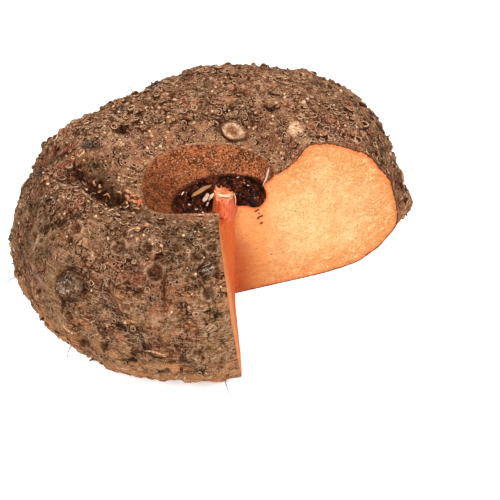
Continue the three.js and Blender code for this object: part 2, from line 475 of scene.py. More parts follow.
def make_piece(name, points, faces, finishes, face_finish=None, marks=None, sharp=None):
    """A mesh object in the frame, riding on the corm's one body."""
    if not is_closed(faces):
        raise RuntimeError(f"{name} is not a closed surface")
    mesh = bpy.data.meshes.new(name)
    points = np.array(points, float)
    points[:, 2] = np.maximum(points[:, 2], 0)
    mesh.from_pydata(points.tolist(), [], np.asarray(faces).tolist())
    mesh.shade_smooth()
    for finish in finishes:
        mesh.materials.append(finish)
    if face_finish is not None:
        mesh.polygons.foreach_set("material_index", np.asarray(face_finish, np.int32))
    for mark, values in (marks or {}).items():
        values = np.asarray(values, np.float32)
        if values.ndim == 1:
            mesh.attributes.new(mark, "FLOAT", "POINT").data.foreach_set("value", values)
        else:
            mesh.attributes.new(mark, "FLOAT_VECTOR", "POINT").data.foreach_set("vector", values.ravel())
    if sharp is not None:
        mesh.set_sharp_from_angle(angle=math.radians(sharp))
    mesh.update()
    old = bpy.data.objects.get(name)
    if old is not None:
        bpy.data.objects.remove(old)
    piece = bpy.data.objects.new(name, mesh)
    bpy.context.scene.collection.objects.link(piece)
    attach(piece, "root")
    return piece


def seam(first, second):
    """Triangles between two rows of points that may have different counts."""
    n, m = len(first) - 1, len(second) - 1
    parts = []
    if n > 0:
        i = np.arange(n)
        j = np.clip(-((n - (2 * i + 1) * m) // (2 * n)), 0, m)
        parts.append(np.stack([first[i], first[i + 1], second[j]], -1))
    if m > 0:
        j = np.arange(m)
        i = np.clip(((2 * j + 1) * n + m) // (2 * m), 0, n)
        parts.append(np.stack([first[i], second[j + 1], second[j]], -1))
    return np.concatenate(parts)


# the profile up to here is the flat underside, which needs fewer points
UNDERSIDE = 0.95


def row_places(spacing):
    """Places along the profile, evenly apart on the skin and wider apart under the foot."""
    fine = np.linspace(0, AT_CORNER, 1801)
    p = skin_point(np.full_like(fine, math.radians(150)), fine)
    step = np.linalg.norm(np.diff(p, axis=0), axis=1) * np.where(fine[1:] < UNDERSIDE, 0.4, 1)
    length = np.concatenate([[0], np.cumsum(step)])
    count = int(length[-1] / spacing)
    places = np.interp(np.linspace(0, length[-1], count + 1), length, fine)
    for landmark in (AT_RIM, AT_HOLE):
        places[np.abs(places - landmark).argmin()] = landmark
    return places, np.interp(places, fine, length)


def skin_grid(spacing):
    """Rows of skin points from the right cut round the back to the left cut."""
    places, lengths = row_places(spacing)
    start = RIGHT_CUT_TURN
    ends = left_cut_azimuth(places)
    azimuth, along, travel, rows = [], [], [], []
    total = 0
    for k, place in enumerate(places):
        sweep = np.linspace(start, ends[k], 60)
        p = skin_point(sweep, np.full(60, place))
        girth = np.linalg.norm(np.diff(p, axis=0), axis=1).sum()
        wide = spacing * (2.2 if place < UNDERSIDE else 1)
        count = 0 if k in (0, len(places) - 1) else max(3, int(girth / wide))
        turn = np.linspace(0, 1, count + 1) if count else np.zeros(1)
        azimuth.append(start + (ends[k] - start) * turn)
        along.append(np.full(count + 1, place))
        travel.append(np.full(count + 1, lengths[k]))
        rows.append(np.arange(total, total + count + 1))
        total += count + 1
    return np.concatenate(azimuth), np.concatenate(along), np.concatenate(travel), rows


def smooth_normals(points, faces):
    """The mean direction out of the triangles round each point."""
    a, b, c = (points[faces[:, k]] for k in range(3))
    face = np.cross(b - a, c - a)
    normals = np.zeros_like(points)
    for k in range(3):
        np.add.at(normals, faces[:, k], face)
    return unit(normals)


def spread_apart(points, room, own, cell, count):
    """Numbers of the points, taken in turn, that keep clear of the points taken before them."""
    kept, taken = [], {}
    for k, p in enumerate(points):
        home = np.floor(p / cell).astype(int)
        near = (j for step in np.ndindex(3, 3, 3) for j in taken.get(tuple(home + step - 1), ()))
        if all(((p - points[j]) ** 2).sum() > (room[k] + own[j]) ** 2 for j in near):
            taken.setdefault(tuple(home), []).append(k)
            kept.append(k)
            if len(kept) == count:
                break
    return kept


def scar_centres(points, along, gap, settings):
    """Skin points that carry a root scar, closest together near the crown, and the scars' radii in mm."""
    rng = np.random.default_rng(17)
    rough = rolling(points, 38, 15)
    front = 1 - 0.6 * ease(-points[:, 1], -10, 40) * (points[:, 0] < 0) * (1 - ease(along, 2.8, 3.1))
    liking = (0.12 + 1.2 * ease(along, 2.4, 3.15)) * ease(along, 1.05, 1.4) * (along < 3.93) * front
    front_rim = (points[:, 1] < 0) * (along > 3.55)
    low_down = 0.25 + 0.75 * ease(points[:, 2], 12, 32)
    liking = liking * (0.6 + ease(rough, -0.25, 0.25)) * (gap > 2.6) * ~front_rim * low_down
    tries = rng.choice(len(points), size=settings.rings * 5, replace=False, p=liking / liking.sum())
    radius = settings.ring_radius / MM * np.exp(rng.normal(0, 0.3, len(tries)))
    elsewhere = front[tries] > 0.9
    radius[(rng.random(len(tries)) < 0.07) & elsewhere] *= 1.6
    radius = np.where(elsewhere, radius, np.minimum(radius, 1.6))
    kept = spread_apart(points[tries], 1.0 + radius, 0.6 * radius, 5.0, settings.rings)
    return tries[kept], radius[kept]


def scar_mounds(points, centres, radii):
    """The low knob under each root scar, and the hollow around it, in mm."""
    rng = np.random.default_rng(19)
    tree = KDTree(len(points))
    for k, p in enumerate(points.tolist()):
        tree.insert(p, k)
    tree.balance()
    height = np.zeros(len(points))
    for spot, radius, tall in zip(centres, radii, rng.uniform(0.25, 1.0, len(radii))):
        found = tree.find_range(points[spot].tolist(), 3.0 * radius)
        near = np.array([item[1] for item in found])
        d = np.array([item[2] for item in found]) / radius
        height[near] += tall * radius * (0.8 * bell(d, 0, 1.25) - 0.3 * bell(d, 2.0, 0.5))
    return height


# turns azimuth into millimetres round the corm
MEAN_RADIUS = 110
# lumps at least this low, in mm, are darkened with painted shade
DEEP_DENT = -5
# dents and knobs of the torn crown floor: place in mm, radius, height
CROWN_HOLLOWS = [
    ((14.5, 4.2, 84.5), 7.0, -7.5), ((22.5, 6.4, 94.0), 4.5, 4.5),
    ((-26, 6, 86), 9.0, -3.0), ((2, 13, 86), 9.0, -4.0),
]
# sides darkened in patches with painted shade: azimuth, place along the profile, radius in mm, how dark
DARK_SIDES = [(232, 2.95, 42, 0.6), (192, 2.5, 38, 0.62), (181, 3.55, 30, 0.0)]


def skin_relief(points, azimuth, along, travel, settings):
    """Height of the rough skin over the smooth corm, in mm, and the marks its finish reads."""
    degrees = np.degrees(azimuth)
    outer = 1 - ease(along, 3.85, 4.0)
    side = ease(along, 0.95, 1.2)
    crown = ease(along, 3.95, 4.05)
    floor = ease(along, 4.97, 5.1)
    girth = azimuth * MEAN_RADIUS
    flow = np.stack([girth, travel, np.zeros_like(girth)], -1)
    gap, left_gap = gap_to_cuts(points)

    # broad lumps, then folds, crust, pebbles and the mounds under root scars, all calmer by the cuts
    broad = 1.8 * crumpled(points, 34, 2, 11) + 2.8 * crumpled(points, 14, 2, 21)
    squeezed = flow * (1 / 28, 1 / 6.0, 1) + rolling(points, 20, 34)[:, None]
    folds = 1 - 2 * np.abs(rolling(squeezed, 1, 31))
    fine = 0.9 * folds * ease(rolling(points, 45, 33), -0.25, 0.35)
    crust = 1 - 2.2 * np.abs(rolling(points, 8.5, 41))
    fine += 0.5 * crust + 0.22 * rolling(points, 3.4, 43)
    bump, owner = pebbled(points, 10, 61)
    fine += 2.0 * bell(bump, 0, 0.30) * ease(owner, 0.35, 0.65)
    centres, radii = scar_centres(points, along, gap, settings)
    fine += scar_mounds(points, centres, radii) - 0.9
    fine *= 0.35 + 0.65 * ease(gap, 0.5, 5.0)
    broad *= (0.3 + 0.7 * ease(left_gap, 0, 12)) * (0.45 + 0.55 * ease(gap, 0, 10))
    height = (broad + fine) * outer * side * settings.relief
    height -= 3.4 * bell(degrees, 222, 26) * ease(along, 1.05, 1.5) * (1 - ease(along, 2.1, 2.5))
    height -= 2.0 * bell(degrees, 40, 22) * ease(along, 1.3, 1.7) * (1 - ease(along, 2.6, 3.0))
    height += side * (1 - side) * 1.6 * crumpled(points, 9, 2, 71)

    # single scars, the lip and wall of the crown and its torn floor
    scar, marks = large_scar_marks(points)
    lip = bell(along, 3.985, 0.024)
    height += scar + 0.7 * lip + crown * (0.3 * rolling(points, 5, 81) + 0.2 * rolling(points, 2.4, 82))
    height += floor * (1.6 * crumpled(points, 6, 2, 85) - 0.8)
    for centre, radius, lump in CROWN_HOLLOWS:
        height += lump * nearness(points, centre, radius)

    # dark places: the large scars' dark marks, and painted shade in deep dents, the valley beside the
    # crown, its left wall and the shaded sides
    dark = [marks["dark"]]
    for place, level, radius, lump in LUMPS:
        if lump <= DEEP_DENT:
            near = nearness(points, skin_place(place, level), radius * 0.8)
            dark.append(0.8 * near * (0.7 + 0.6 * crust))
    # painted shade down the valley beside the crown, and on the left of the crown wall
    valley = bell(degrees - 178 - 33 * (along - 3.3), 0, 13) * ease(along, 3.05, 3.3)
    dark.append(valley * (1 - ease(along, 3.9, 4.0)) * (0.8 + 0.5 * crumpled(points, 6, 2, 78)))
    dark.append(0.5 * crown * bell(degrees, 185, 36))
    side_shade, ridged = [], []
    for place, level, radius, amount in DARK_SIDES:
        near = nearness(points, skin_place(place, level), radius)
        dark.append(amount * near * (0.25 + 0.75 * ease(rolling(points, 8, 77), -0.3, 0.25)))
        side_shade.append(near)
        ridged.append(near ** 1.7 * (amount > 0))

    # the skin's finish paints shade into the dips of this relief and pale wear onto its knobs
    dips = fine - fine.mean() + 0.55 * (broad - broad.mean())
    ring = np.zeros(len(points))
    ring[centres] = radii
    marks.update(
        dark=np.max(dark, 0), shaded=np.max(side_shade, 0), ridged=np.max(ridged, 0), lip=lip, scar=ring,
        worn=np.clip(dips / 1.5, -1, 1) * outer * side, clear=gap,
    )
    return height, marks, flow


def within(points, outline):
    """Which flat points lie inside a closed outline."""
    inside = np.zeros(len(points), bool)
    for (x0, y0), (x1, y1) in zip(outline, np.roll(outline, -1, 0)):
        if y0 != y1:
            level = (y0 > points[:, 1]) != (y1 > points[:, 1])
            inside ^= level & (points[:, 0] < (x1 - x0) * (points[:, 1] - y0) / (y1 - y0) + x0)
    return inside


def cut_face_points(edge, spacing, seed):
    """Scattered points inside a flat outline, evenly apart."""
    rng = np.random.default_rng(seed)
    low, high = edge.min(0), edge.max(0)
    rise = spacing * math.sqrt(0.75)
    grid = []
    for k, y in enumerate(np.arange(low[1] + rise / 2, high[1], rise)):
        xs = np.arange(low[0] + spacing * (0.25 + 0.5 * (k % 2)), high[0], spacing)
        grid.append(np.stack([xs, np.full_like(xs, y)], -1))
    grid = np.concatenate(grid)
    grid = grid + rng.uniform(-0.22, 0.22, grid.shape) * spacing
    return grid[within(grid, edge) & (distance_to(grid, edge) > 0.6 * spacing)]


def distance_to(points, others, chunk=2000):
    """Distance from each point to the nearest of the others."""
    out = np.empty(len(points))
    for k in range(0, len(points), chunk):
        gap = points[k:k + chunk, None] - others[None]
        out[k:k + chunk] = np.sqrt((gap ** 2).sum(-1).min(1))
    return out


def fill_cut(edge, spacing, seed):
    """Triangulates a flat outline: inner points, and triangles over edge points then inner points."""
    inner = cut_face_points(edge, spacing, seed)
    flat = np.concatenate([edge, inner])
    outline = [(k, (k + 1) % len(edge)) for k in range(len(edge))]
    result = delaunay_2d_cdt([Vector(p) for p in flat.tolist()], outline, [], 1, 1e-7, True)
    source = [ids[0] for ids in result[3]]
    if len(source) > len(flat):
        raise RuntimeError("the outline of a cut face crosses itself")
    faces = np.array([[source[k] for k in face] for face in result[2]])
    faces = faces[within(flat[faces].mean(1), edge)]
    if len(faces) != len(edge) + 2 * len(inner) - 2:
        raise RuntimeError("a cut face is not filled")
    a, b, c = (flat[faces[:, k]] for k in range(3))
    turn = (b[:, 0] - a[:, 0]) * (c[:, 1] - a[:, 1]) - (b[:, 1] - a[:, 1]) * (c[:, 0] - a[:, 0])
    faces[turn < 0] = faces[turn < 0][:, ::-1]
    return inner, faces


# the corm's finishes, in the order its mesh holds them
SKIN, FLESH, CROWN_WALL, DEAD_TISSUE, FLESH_NEAR_CORE = range(5)


def cut_face(side, points, ring, spacing):
    """New points inside one cut face, and triangles over its ring and then those points."""
    right = side == "right"
    across = points[ring] @ RIGHT_CUT_ALONG if right else -points[ring][:, 1]
    edge = np.stack([across, points[ring][:, 2]], -1)
    inner, faces = fill_cut(edge, spacing, 5 if right else 6)
    fade = ease(distance_to(inner, edge), 0, 2.5)
    if right:
        new, out = inner[:, :1] * RIGHT_CUT_ALONG + inner[:, 1:] * UP, RIGHT_CUT_OUT
    else:
        new = np.stack([left_cut_x(inner[:, 0], inner[:, 1]), -inner[:, 0], inner[:, 1]], -1)
        out = LEFT_CUT_OUT
    drag = rolling(new * (0.02, 0.02, 0.16), 1, 7) * 0.5 + rolling(new, 9, 8) * 0.3
    drag += 0.12 * rolling(new, 2.6, 9)
    return new + out * (drag * fade)[:, None], faces if right else faces[:, ::-1]


def corm_arrays(settings, scars):
    """Points, triangles, finishes and marks of the whole corm, closed."""
    spacing = settings.spacing / MM
    azimuth, along, travel, rows = skin_grid(spacing)
    points = skin_point(azimuth, along)
    skin_count = len(points)
    faces = np.concatenate([seam(a, b) for a, b in zip(rows, rows[1:])])
    face_along = along[faces].mean(1)
    rest = smooth_normals(points, faces)
    height, marks, flow = skin_relief(points, azimuth, along, travel, scars)
    move = rest * height[:, None]
    right = np.array([row[0] for row in rows])
    left = np.array([row[-1] for row in rows])
    move[right] -= (move[right] @ RIGHT_CUT_OUT)[:, None] * RIGHT_CUT_OUT
    move[right[[0, -1]]] = 0
    points = points + move
    points[left, 0] = left_cut_x(np.maximum(-points[left, 1], 0), points[left, 2])
    points[:, 2] = np.maximum(points[:, 2], 0)

    # the upright inner corner, from the crown floor down to the foot
    count = int(CROWN_FLOOR_HEIGHT / spacing)
    corner = np.zeros((count - 1, 3))
    corner[:, 2] = np.linspace(CROWN_FLOOR_HEIGHT, 0, count + 1)[1:-1]
    corner_ids = skin_count + np.arange(len(corner))
    points = np.concatenate([points, corner])

    all_faces = [faces]
    in_crown = np.where(face_along < AT_HOLE, CROWN_WALL, DEAD_TISSUE)
    all_finish = [np.where(face_along < AT_RIM, SKIN, in_crown)]
    added = [points]
    for side, ids, finish in (("right", right, FLESH), ("left", left, FLESH_NEAR_CORE)):
        ring = np.concatenate([ids, corner_ids])
        new, local = cut_face(side, points, ring, spacing)
        ids = np.concatenate([ring, sum(len(a) for a in added) + np.arange(len(new))])
        all_faces.append(ids[local])
        all_finish.append(np.full(len(local), finish))
        added.append(new)
    points = np.concatenate(added)

    extra = len(points) - skin_count
    marks = {name: np.concatenate([values, np.zeros(extra)]) for name, values in marks.items()}
    marks["along"] = np.concatenate([along, np.full(extra, -1.0)])
    marks["flow"] = np.concatenate([flow, points[skin_count:]])
    marks["rest"] = np.concatenate([rest, np.tile(RIGHT_CUT_OUT, (extra, 1))])

    # how deep each point of the cut faces lies under the skin, and from the crown
    rind = np.concatenate([right, left])
    outside, crown = rind[along[rind] < AT_RIM], rind[along[rind] >= AT_RIM]
    inside = np.arange(skin_count, len(points))
    for name, edge, other in (("under_skin", outside, crown), ("from_crown", crown, outside)):
        marks[name] = np.zeros(len(points))
        for ids in (inside, other):
            marks[name][ids] = distance_to(points[ids], points[edge])
    marks["from_corner"] = np.hypot(points[:, 0], points[:, 1])
    marks["by_core"] = np.hypot((points[:, 0] + 6) / 10, (points[:, 1] + 12) / 15)
    return points, np.concatenate(all_faces), np.concatenate(all_finish), marks


# small pieces keep this many mm from the cut faces
CLEAR_OF_CUTS = 2.4


class Skin:
    """The finished skin, read back from the corm, so that small pieces can be set on it."""

    def __init__(self):
        self.mesh = bpy.data.objects["corm_body"].data
        self.points = self.read(self.mesh.vertices, "co", 3)
        corners = self.read(self.mesh.loops, "vertex_index", 1, np.int32)
        finish = self.read(self.mesh.polygons, "material_index", 1, np.int32)
        self.faces = corners.reshape(-1, 3)[finish == SKIN]
        self.rest = self.mark("rest", 3)
        self.along = self.face_mark("along")
        a, b, c = (self.points[self.faces[:, k]] for k in range(3))
        self.area = np.linalg.norm(np.cross(b - a, c - a), axis=1) / 2
        self.tree = BVHTree.FromPolygons(self.points.tolist(), self.faces.tolist())

    def read(self, data, name, width, kind=float):
        """One property of all of a mesh's points, corners or faces."""
        values = np.empty(len(data) * width, kind)
        data.foreach_get(name, values)
        return values if width == 1 else values.reshape(-1, width)

    def mark(self, name, width=1):
        """A mark at every point of the corm body."""
        return self.read(self.mesh.attributes[name].data, "value" if width == 1 else "vector", width)

    def face_mark(self, name):
        """A mark in the middle of every skin face."""
        return self.mark(name)[self.faces].mean(1)

    def scatter(self, count, spacing, seed, liking):
        """Places on the skin at least this many metres apart: points and normals."""
        rng = np.random.default_rng(seed)
        weight = self.area * liking * (self.face_mark("clear") > CLEAR_OF_CUTS)
        tries = rng.choice(len(weight), size=count * 5, p=weight / weight.sum())
        u, v = rng.random((2, len(tries)))
        u, v = np.where(u + v > 1, 1 - u, u), np.where(u + v > 1, 1 - v, v)
        share = np.stack([1 - u - v, u, v], -1)[..., None]
        points = (self.points[self.faces[tries]] * share).sum(1)
        normals = unit((self.rest[self.faces[tries]] * share).sum(1))
        room = np.full(len(tries), spacing)
        kept = spread_apart(points, room, 0 * room, spacing, count)
        return points[kept], normals[kept]

    def at(self, places):
        """The skin and its normals at (azimuth in degrees, place along the profile) pairs."""
        azimuth, along = np.array(places, float).T
        return self.snap(placed(skin_point(np.radians(azimuth), along)))

    def snap(self, points):
        """The nearest skin to each point, and the smooth normal there."""
        found, normals = [], []
        for p in points:
            spot, _, face, _ = self.tree.find_nearest(Vector(p))
            found.append(spot)
            normals.append(self.rest[self.faces[face]].mean(0))
        return np.array(found), unit(np.array(normals))


def turned_sides(normals, angle):
    """Two directions in the skin at each place, turned by an angle about the normal."""
    east, north = local_sides(normals)
    c, s = np.cos(angle)[:, None], np.sin(angle)[:, None]
    return east * c + north * s, north * c - east * s


def copies(shapes, faces, points, across, up, out, size):
    """One mesh of many small shapes, each set at its own place and stretched to its own size."""
    local = shapes * size[:, None, :]
    sides = (across, up, out)
    all_points = points[:, None] + sum(local[..., k:k + 1] * sides[k][:, None] for k in range(3))
    steps = (np.arange(len(points)) * shapes.shape[1])[:, None, None]
    return all_points.reshape(-1, 3), (faces[None] + steps).reshape(-1, 3)


def drawn_through(spots, count):
    """This many points on the line drawn through a few spots."""
    spots = np.asarray(spots, float)
    t, k = np.linspace(0, len(spots) - 1, count), np.arange(len(spots))
    return np.stack([np.interp(t, k, column) for column in spots.T], -1)


def loop_faces(loops, sides, start, end):
    """Triangles over loops of points, one after another, closed by a point at each end."""
    i = np.arange(sides)
    ahead = (i + 1) % sides
    last = (loops - 1) * sides
    corners = [(ahead, i, 0 * i + start), (last + i, last + ahead, 0 * i + end)]
    for first in range(0, last, sides):
        a, b = first + i, first + ahead
        corners += [(a, b, b + sides), (a, b + sides, a + sides)]
    return np.concatenate([np.stack(face, -1) for face in corners])


def dished_ring(sides, radii, heights):
    """A round shape from rings of given radius and height, closed at its middle and underneath."""
    turn = np.arange(sides) * 2 * math.pi / sides
    loops = len(radii) - 1
    points = [
        np.stack([np.cos(turn) * r, np.sin(turn) * r, np.full(sides, h)], -1)
        for r, h in zip(radii[:loops], heights)
    ]
    points = np.concatenate(points + [[(0, 0, heights[-1]), (0, 0, heights[0])]])
    ring_of = np.concatenate([np.repeat(np.arange(loops), sides), [loops, 0]])
    return points, loop_faces(loops, sides, len(points) - 1, len(points) - 2), ring_of


def tube(path, radii, sides=6, flat=1.0, twist=0.0):
    """A closed round or flattened tube along a path of points."""
    path, radii = np.asarray(path, float), np.asarray(radii, float)
    ahead = unit(np.gradient(path, axis=0))
    helper = UP if abs(ahead[0] @ UP) < 0.9 else np.array([1.0, 0, 0])
    side = unit(np.cross(ahead[0], helper))
    points = []
    for k, (p, t) in enumerate(zip(path, ahead)):
        side = unit(side - (side @ t) * t)
        other = np.cross(t, side)
        turn = np.arange(sides) * 2 * math.pi / sides + twist * k
        ring = np.cos(turn)[:, None] * side + flat * np.sin(turn)[:, None] * other
        points.append(p + ring * radii[k])
    points = np.concatenate(points + [path[:1], path[-1:]])
    return points, loop_faces(len(path), sides, len(points) - 2, len(points) - 1)


def tube_share(share, sides):
    """How far along it each point of a tube lies."""
    return np.concatenate([np.repeat(share, sides), [0, 1]])


def tapered(steps, top, least, power=2):
    """The widths of a strip that narrows to both ends."""
    return np.sqrt(np.clip(top - np.abs(np.linspace(-1, 1, steps)) ** power, least, 1))


def merged(parts):
    """Several point and triangle arrays as one, with the number of the part for each point."""
    first = np.cumsum([0] + [len(points) for points, _ in parts])
    owner = np.concatenate([np.full(len(points), k) for k, (points, _) in enumerate(parts)])
    faces = np.concatenate([faces + start for (_, faces), start in zip(parts, first)])
    return np.concatenate([points for points, _ in parts]), faces, owner


# ---- Finishes. Tones are screen colours from 0 to 255 ----


def shade(red, green, blue):
    """A screen colour as the plain light amounts that shaders take."""
    return tuple(
        round(c / 12.92 if c <= 0.04045 else ((c + 0.055) / 1.055) ** 2.4, 4)
        for c in (red / 255, green / 255, blue / 255)
    )


class Finish:
    """A material with one Principled shader: short ways to add nodes, and the colour laid on so far."""

    def __init__(self, name, roughness, specular):
        old = bpy.data.materials.get(name)
        if old is not None:
            bpy.data.materials.remove(old)
        self.material = bpy.data.materials.new(name)
        self.material.use_nodes = True
        self.tree = self.material.node_tree
        self.shader = self.tree.nodes["Principled BSDF"]
        self.shader.inputs["Roughness"].default_value = roughness
        self.shader.inputs["Specular IOR Level"].default_value = specular
        self.where = self.tree.nodes.new("ShaderNodeTexCoord").outputs["Object"]
        self.colour = None

    def put(self, socket, value):
        """Links a node to a socket, or sets the socket to a number, a vector, a tone or a setting."""
        if isinstance(value, bpy.types.NodeSocket):
            self.tree.links.new(value, socket)
        elif socket.type == "RGBA":
            socket.default_value = (*(shade(*value) if isinstance(value, tuple) else value), 1)
        else:
            socket.default_value = value

    def node(self, kind, inputs, **settings):
        """Adds a node, sets it up and joins its inputs."""
        node = self.tree.nodes.new(kind)
        for name, value in settings.items():
            setattr(node, name, value)
        for name, value in inputs.items():
            self.put(node.inputs[name], value)
        return node

    # numbers

    def mark(self, name):
        """A mark the mesh carries."""
        return self.node("ShaderNodeAttribute", {}, attribute_name=name).outputs["Fac"]

    def height(self):
        """Height above the foot, as the noise sees it."""
        return self.node("ShaderNodeSeparateXYZ", {0: self.where}).outputs["Z"]

    def sum(self, first, *others, how="ADD"):
        """Several values added, or joined another way, one after another."""
        for other in others:
            first = self.node("ShaderNodeMath", {0: first, 1: other}, operation=how).outputs[0]
        return first

    def times(self, *parts):
        """Several values multiplied."""
        result = parts[-1]
        for part in reversed(parts[:-1]):
            result = self.sum(part, result, how="MULTIPLY")
        return result

    def band(self, value, low, high, out_low=0.0, out_high=1.0):
        """A value from low to high turned smoothly into out_low to out_high, and held outside."""
        inputs = {"Value": value, "From Min": low, "From Max": high, "To Min": out_low, "To Max": out_high}
        return self.node("ShaderNodeMapRange", inputs, interpolation_type="SMOOTHSTEP").outputs["Result"]

    def ragged(self, value, noise, amount):
        """A value pushed up and down by a noise."""
        return self.sum(value, self.times(self.sum(noise, -0.5), amount))

    # places

    def vector(self, first, second, how, third=(0, 0, 0)):
        """Two or three vectors combined."""
        return self.node(
            "ShaderNodeVectorMath", {0: first, 1: second, 2: third}, operation=how
        ).outputs["Vector"]

    def flow(self, stretch):
        """Millimetres round the corm and up its side, squeezed as asked."""
        node = self.node("ShaderNodeAttribute", {}, attribute_name="flow")
        return self.vector(node.outputs["Vector"], stretch, "MULTIPLY")

    def wobbled(self, amount, scale):
        """Millimetre coordinates pushed about by this many metres."""
        push = self.node("ShaderNodeTexNoise", {"Vector": self.where, "Scale": scale, "Detail": 1})
        pushed = self.vector(push.outputs["Color"], (amount,) * 3, "MULTIPLY_ADD", self.where)
        return self.vector(pushed, (1 / MM,) * 3, "MULTIPLY")

    def scaled(self, size, vector):
        """Socket values for a texture with features this many millimetres across."""
        if vector is None:
            return {"Vector": self.where, "Scale": 1 / MM / size}
        return {"Vector": vector, "Scale": 1 / size}

    # textures

    def noise(self, size, detail=2.0, rough=0.5, twist=0.0, vector=None, shift=0.0):
        """Noise with features this many millimetres across, about 0.5."""
        inputs = self.scaled(size, vector)
        if shift:
            inputs["Vector"] = self.vector(inputs["Vector"], (shift, shift * 0.7, -shift), "ADD")
        inputs.update({"Detail": detail, "Roughness": rough, "Distortion": twist})
        return self.node("ShaderNodeTexNoise", inputs).outputs["Fac"]

    def spots(self, size, vector=None, channel=0):
        """Distance from the nearest of scattered spots, and a chance number for that spot."""
        spots = self.node("ShaderNodeTexVoronoi", self.scaled(size, vector))
        chance = self.node("ShaderNodeSeparateColor", {0: spots.outputs["Color"]}).outputs[channel]
        return spots.outputs["Distance"], chance

    def webs(self, size, vector, jitter=1.0):
        """Distance from the lines between cells."""
        inputs = {**self.scaled(size, vector), "Randomness": jitter}
        return self.node("ShaderNodeTexVoronoi", inputs, feature="DISTANCE_TO_EDGE").outputs["Distance"]

    # colours

    def mix(self, amount, first, second):
        """One colour or vector turning into another."""
        inputs = {"Factor": amount, 6: first, 7: second}
        return self.node("ShaderNodeMix", inputs, data_type="RGBA").outputs[2]

    def ground(self, amount, first, second):
        """Starts the running colour from a blend of two."""
        self.colour = self.mix(amount, first, second)

    def coat(self, tone, *shares):
        """Lays a tone over the colour so far, as thick as the product of the shares."""
        self.colour = self.mix(self.times(*shares), self.colour, tone)

    def finish(self, height, strength, deep, roughness=None):
        """The material, with this height as its bump."""
        self.put(self.shader.inputs["Base Color"], self.colour)
        if roughness is not None:
            self.put(self.shader.inputs["Roughness"], roughness)
        bump = self.node("ShaderNodeBump", {"Height": height, "Strength": strength, "Distance": deep})
        self.put(self.shader.inputs["Normal"], bump.outputs["Normal"])
        return self.material


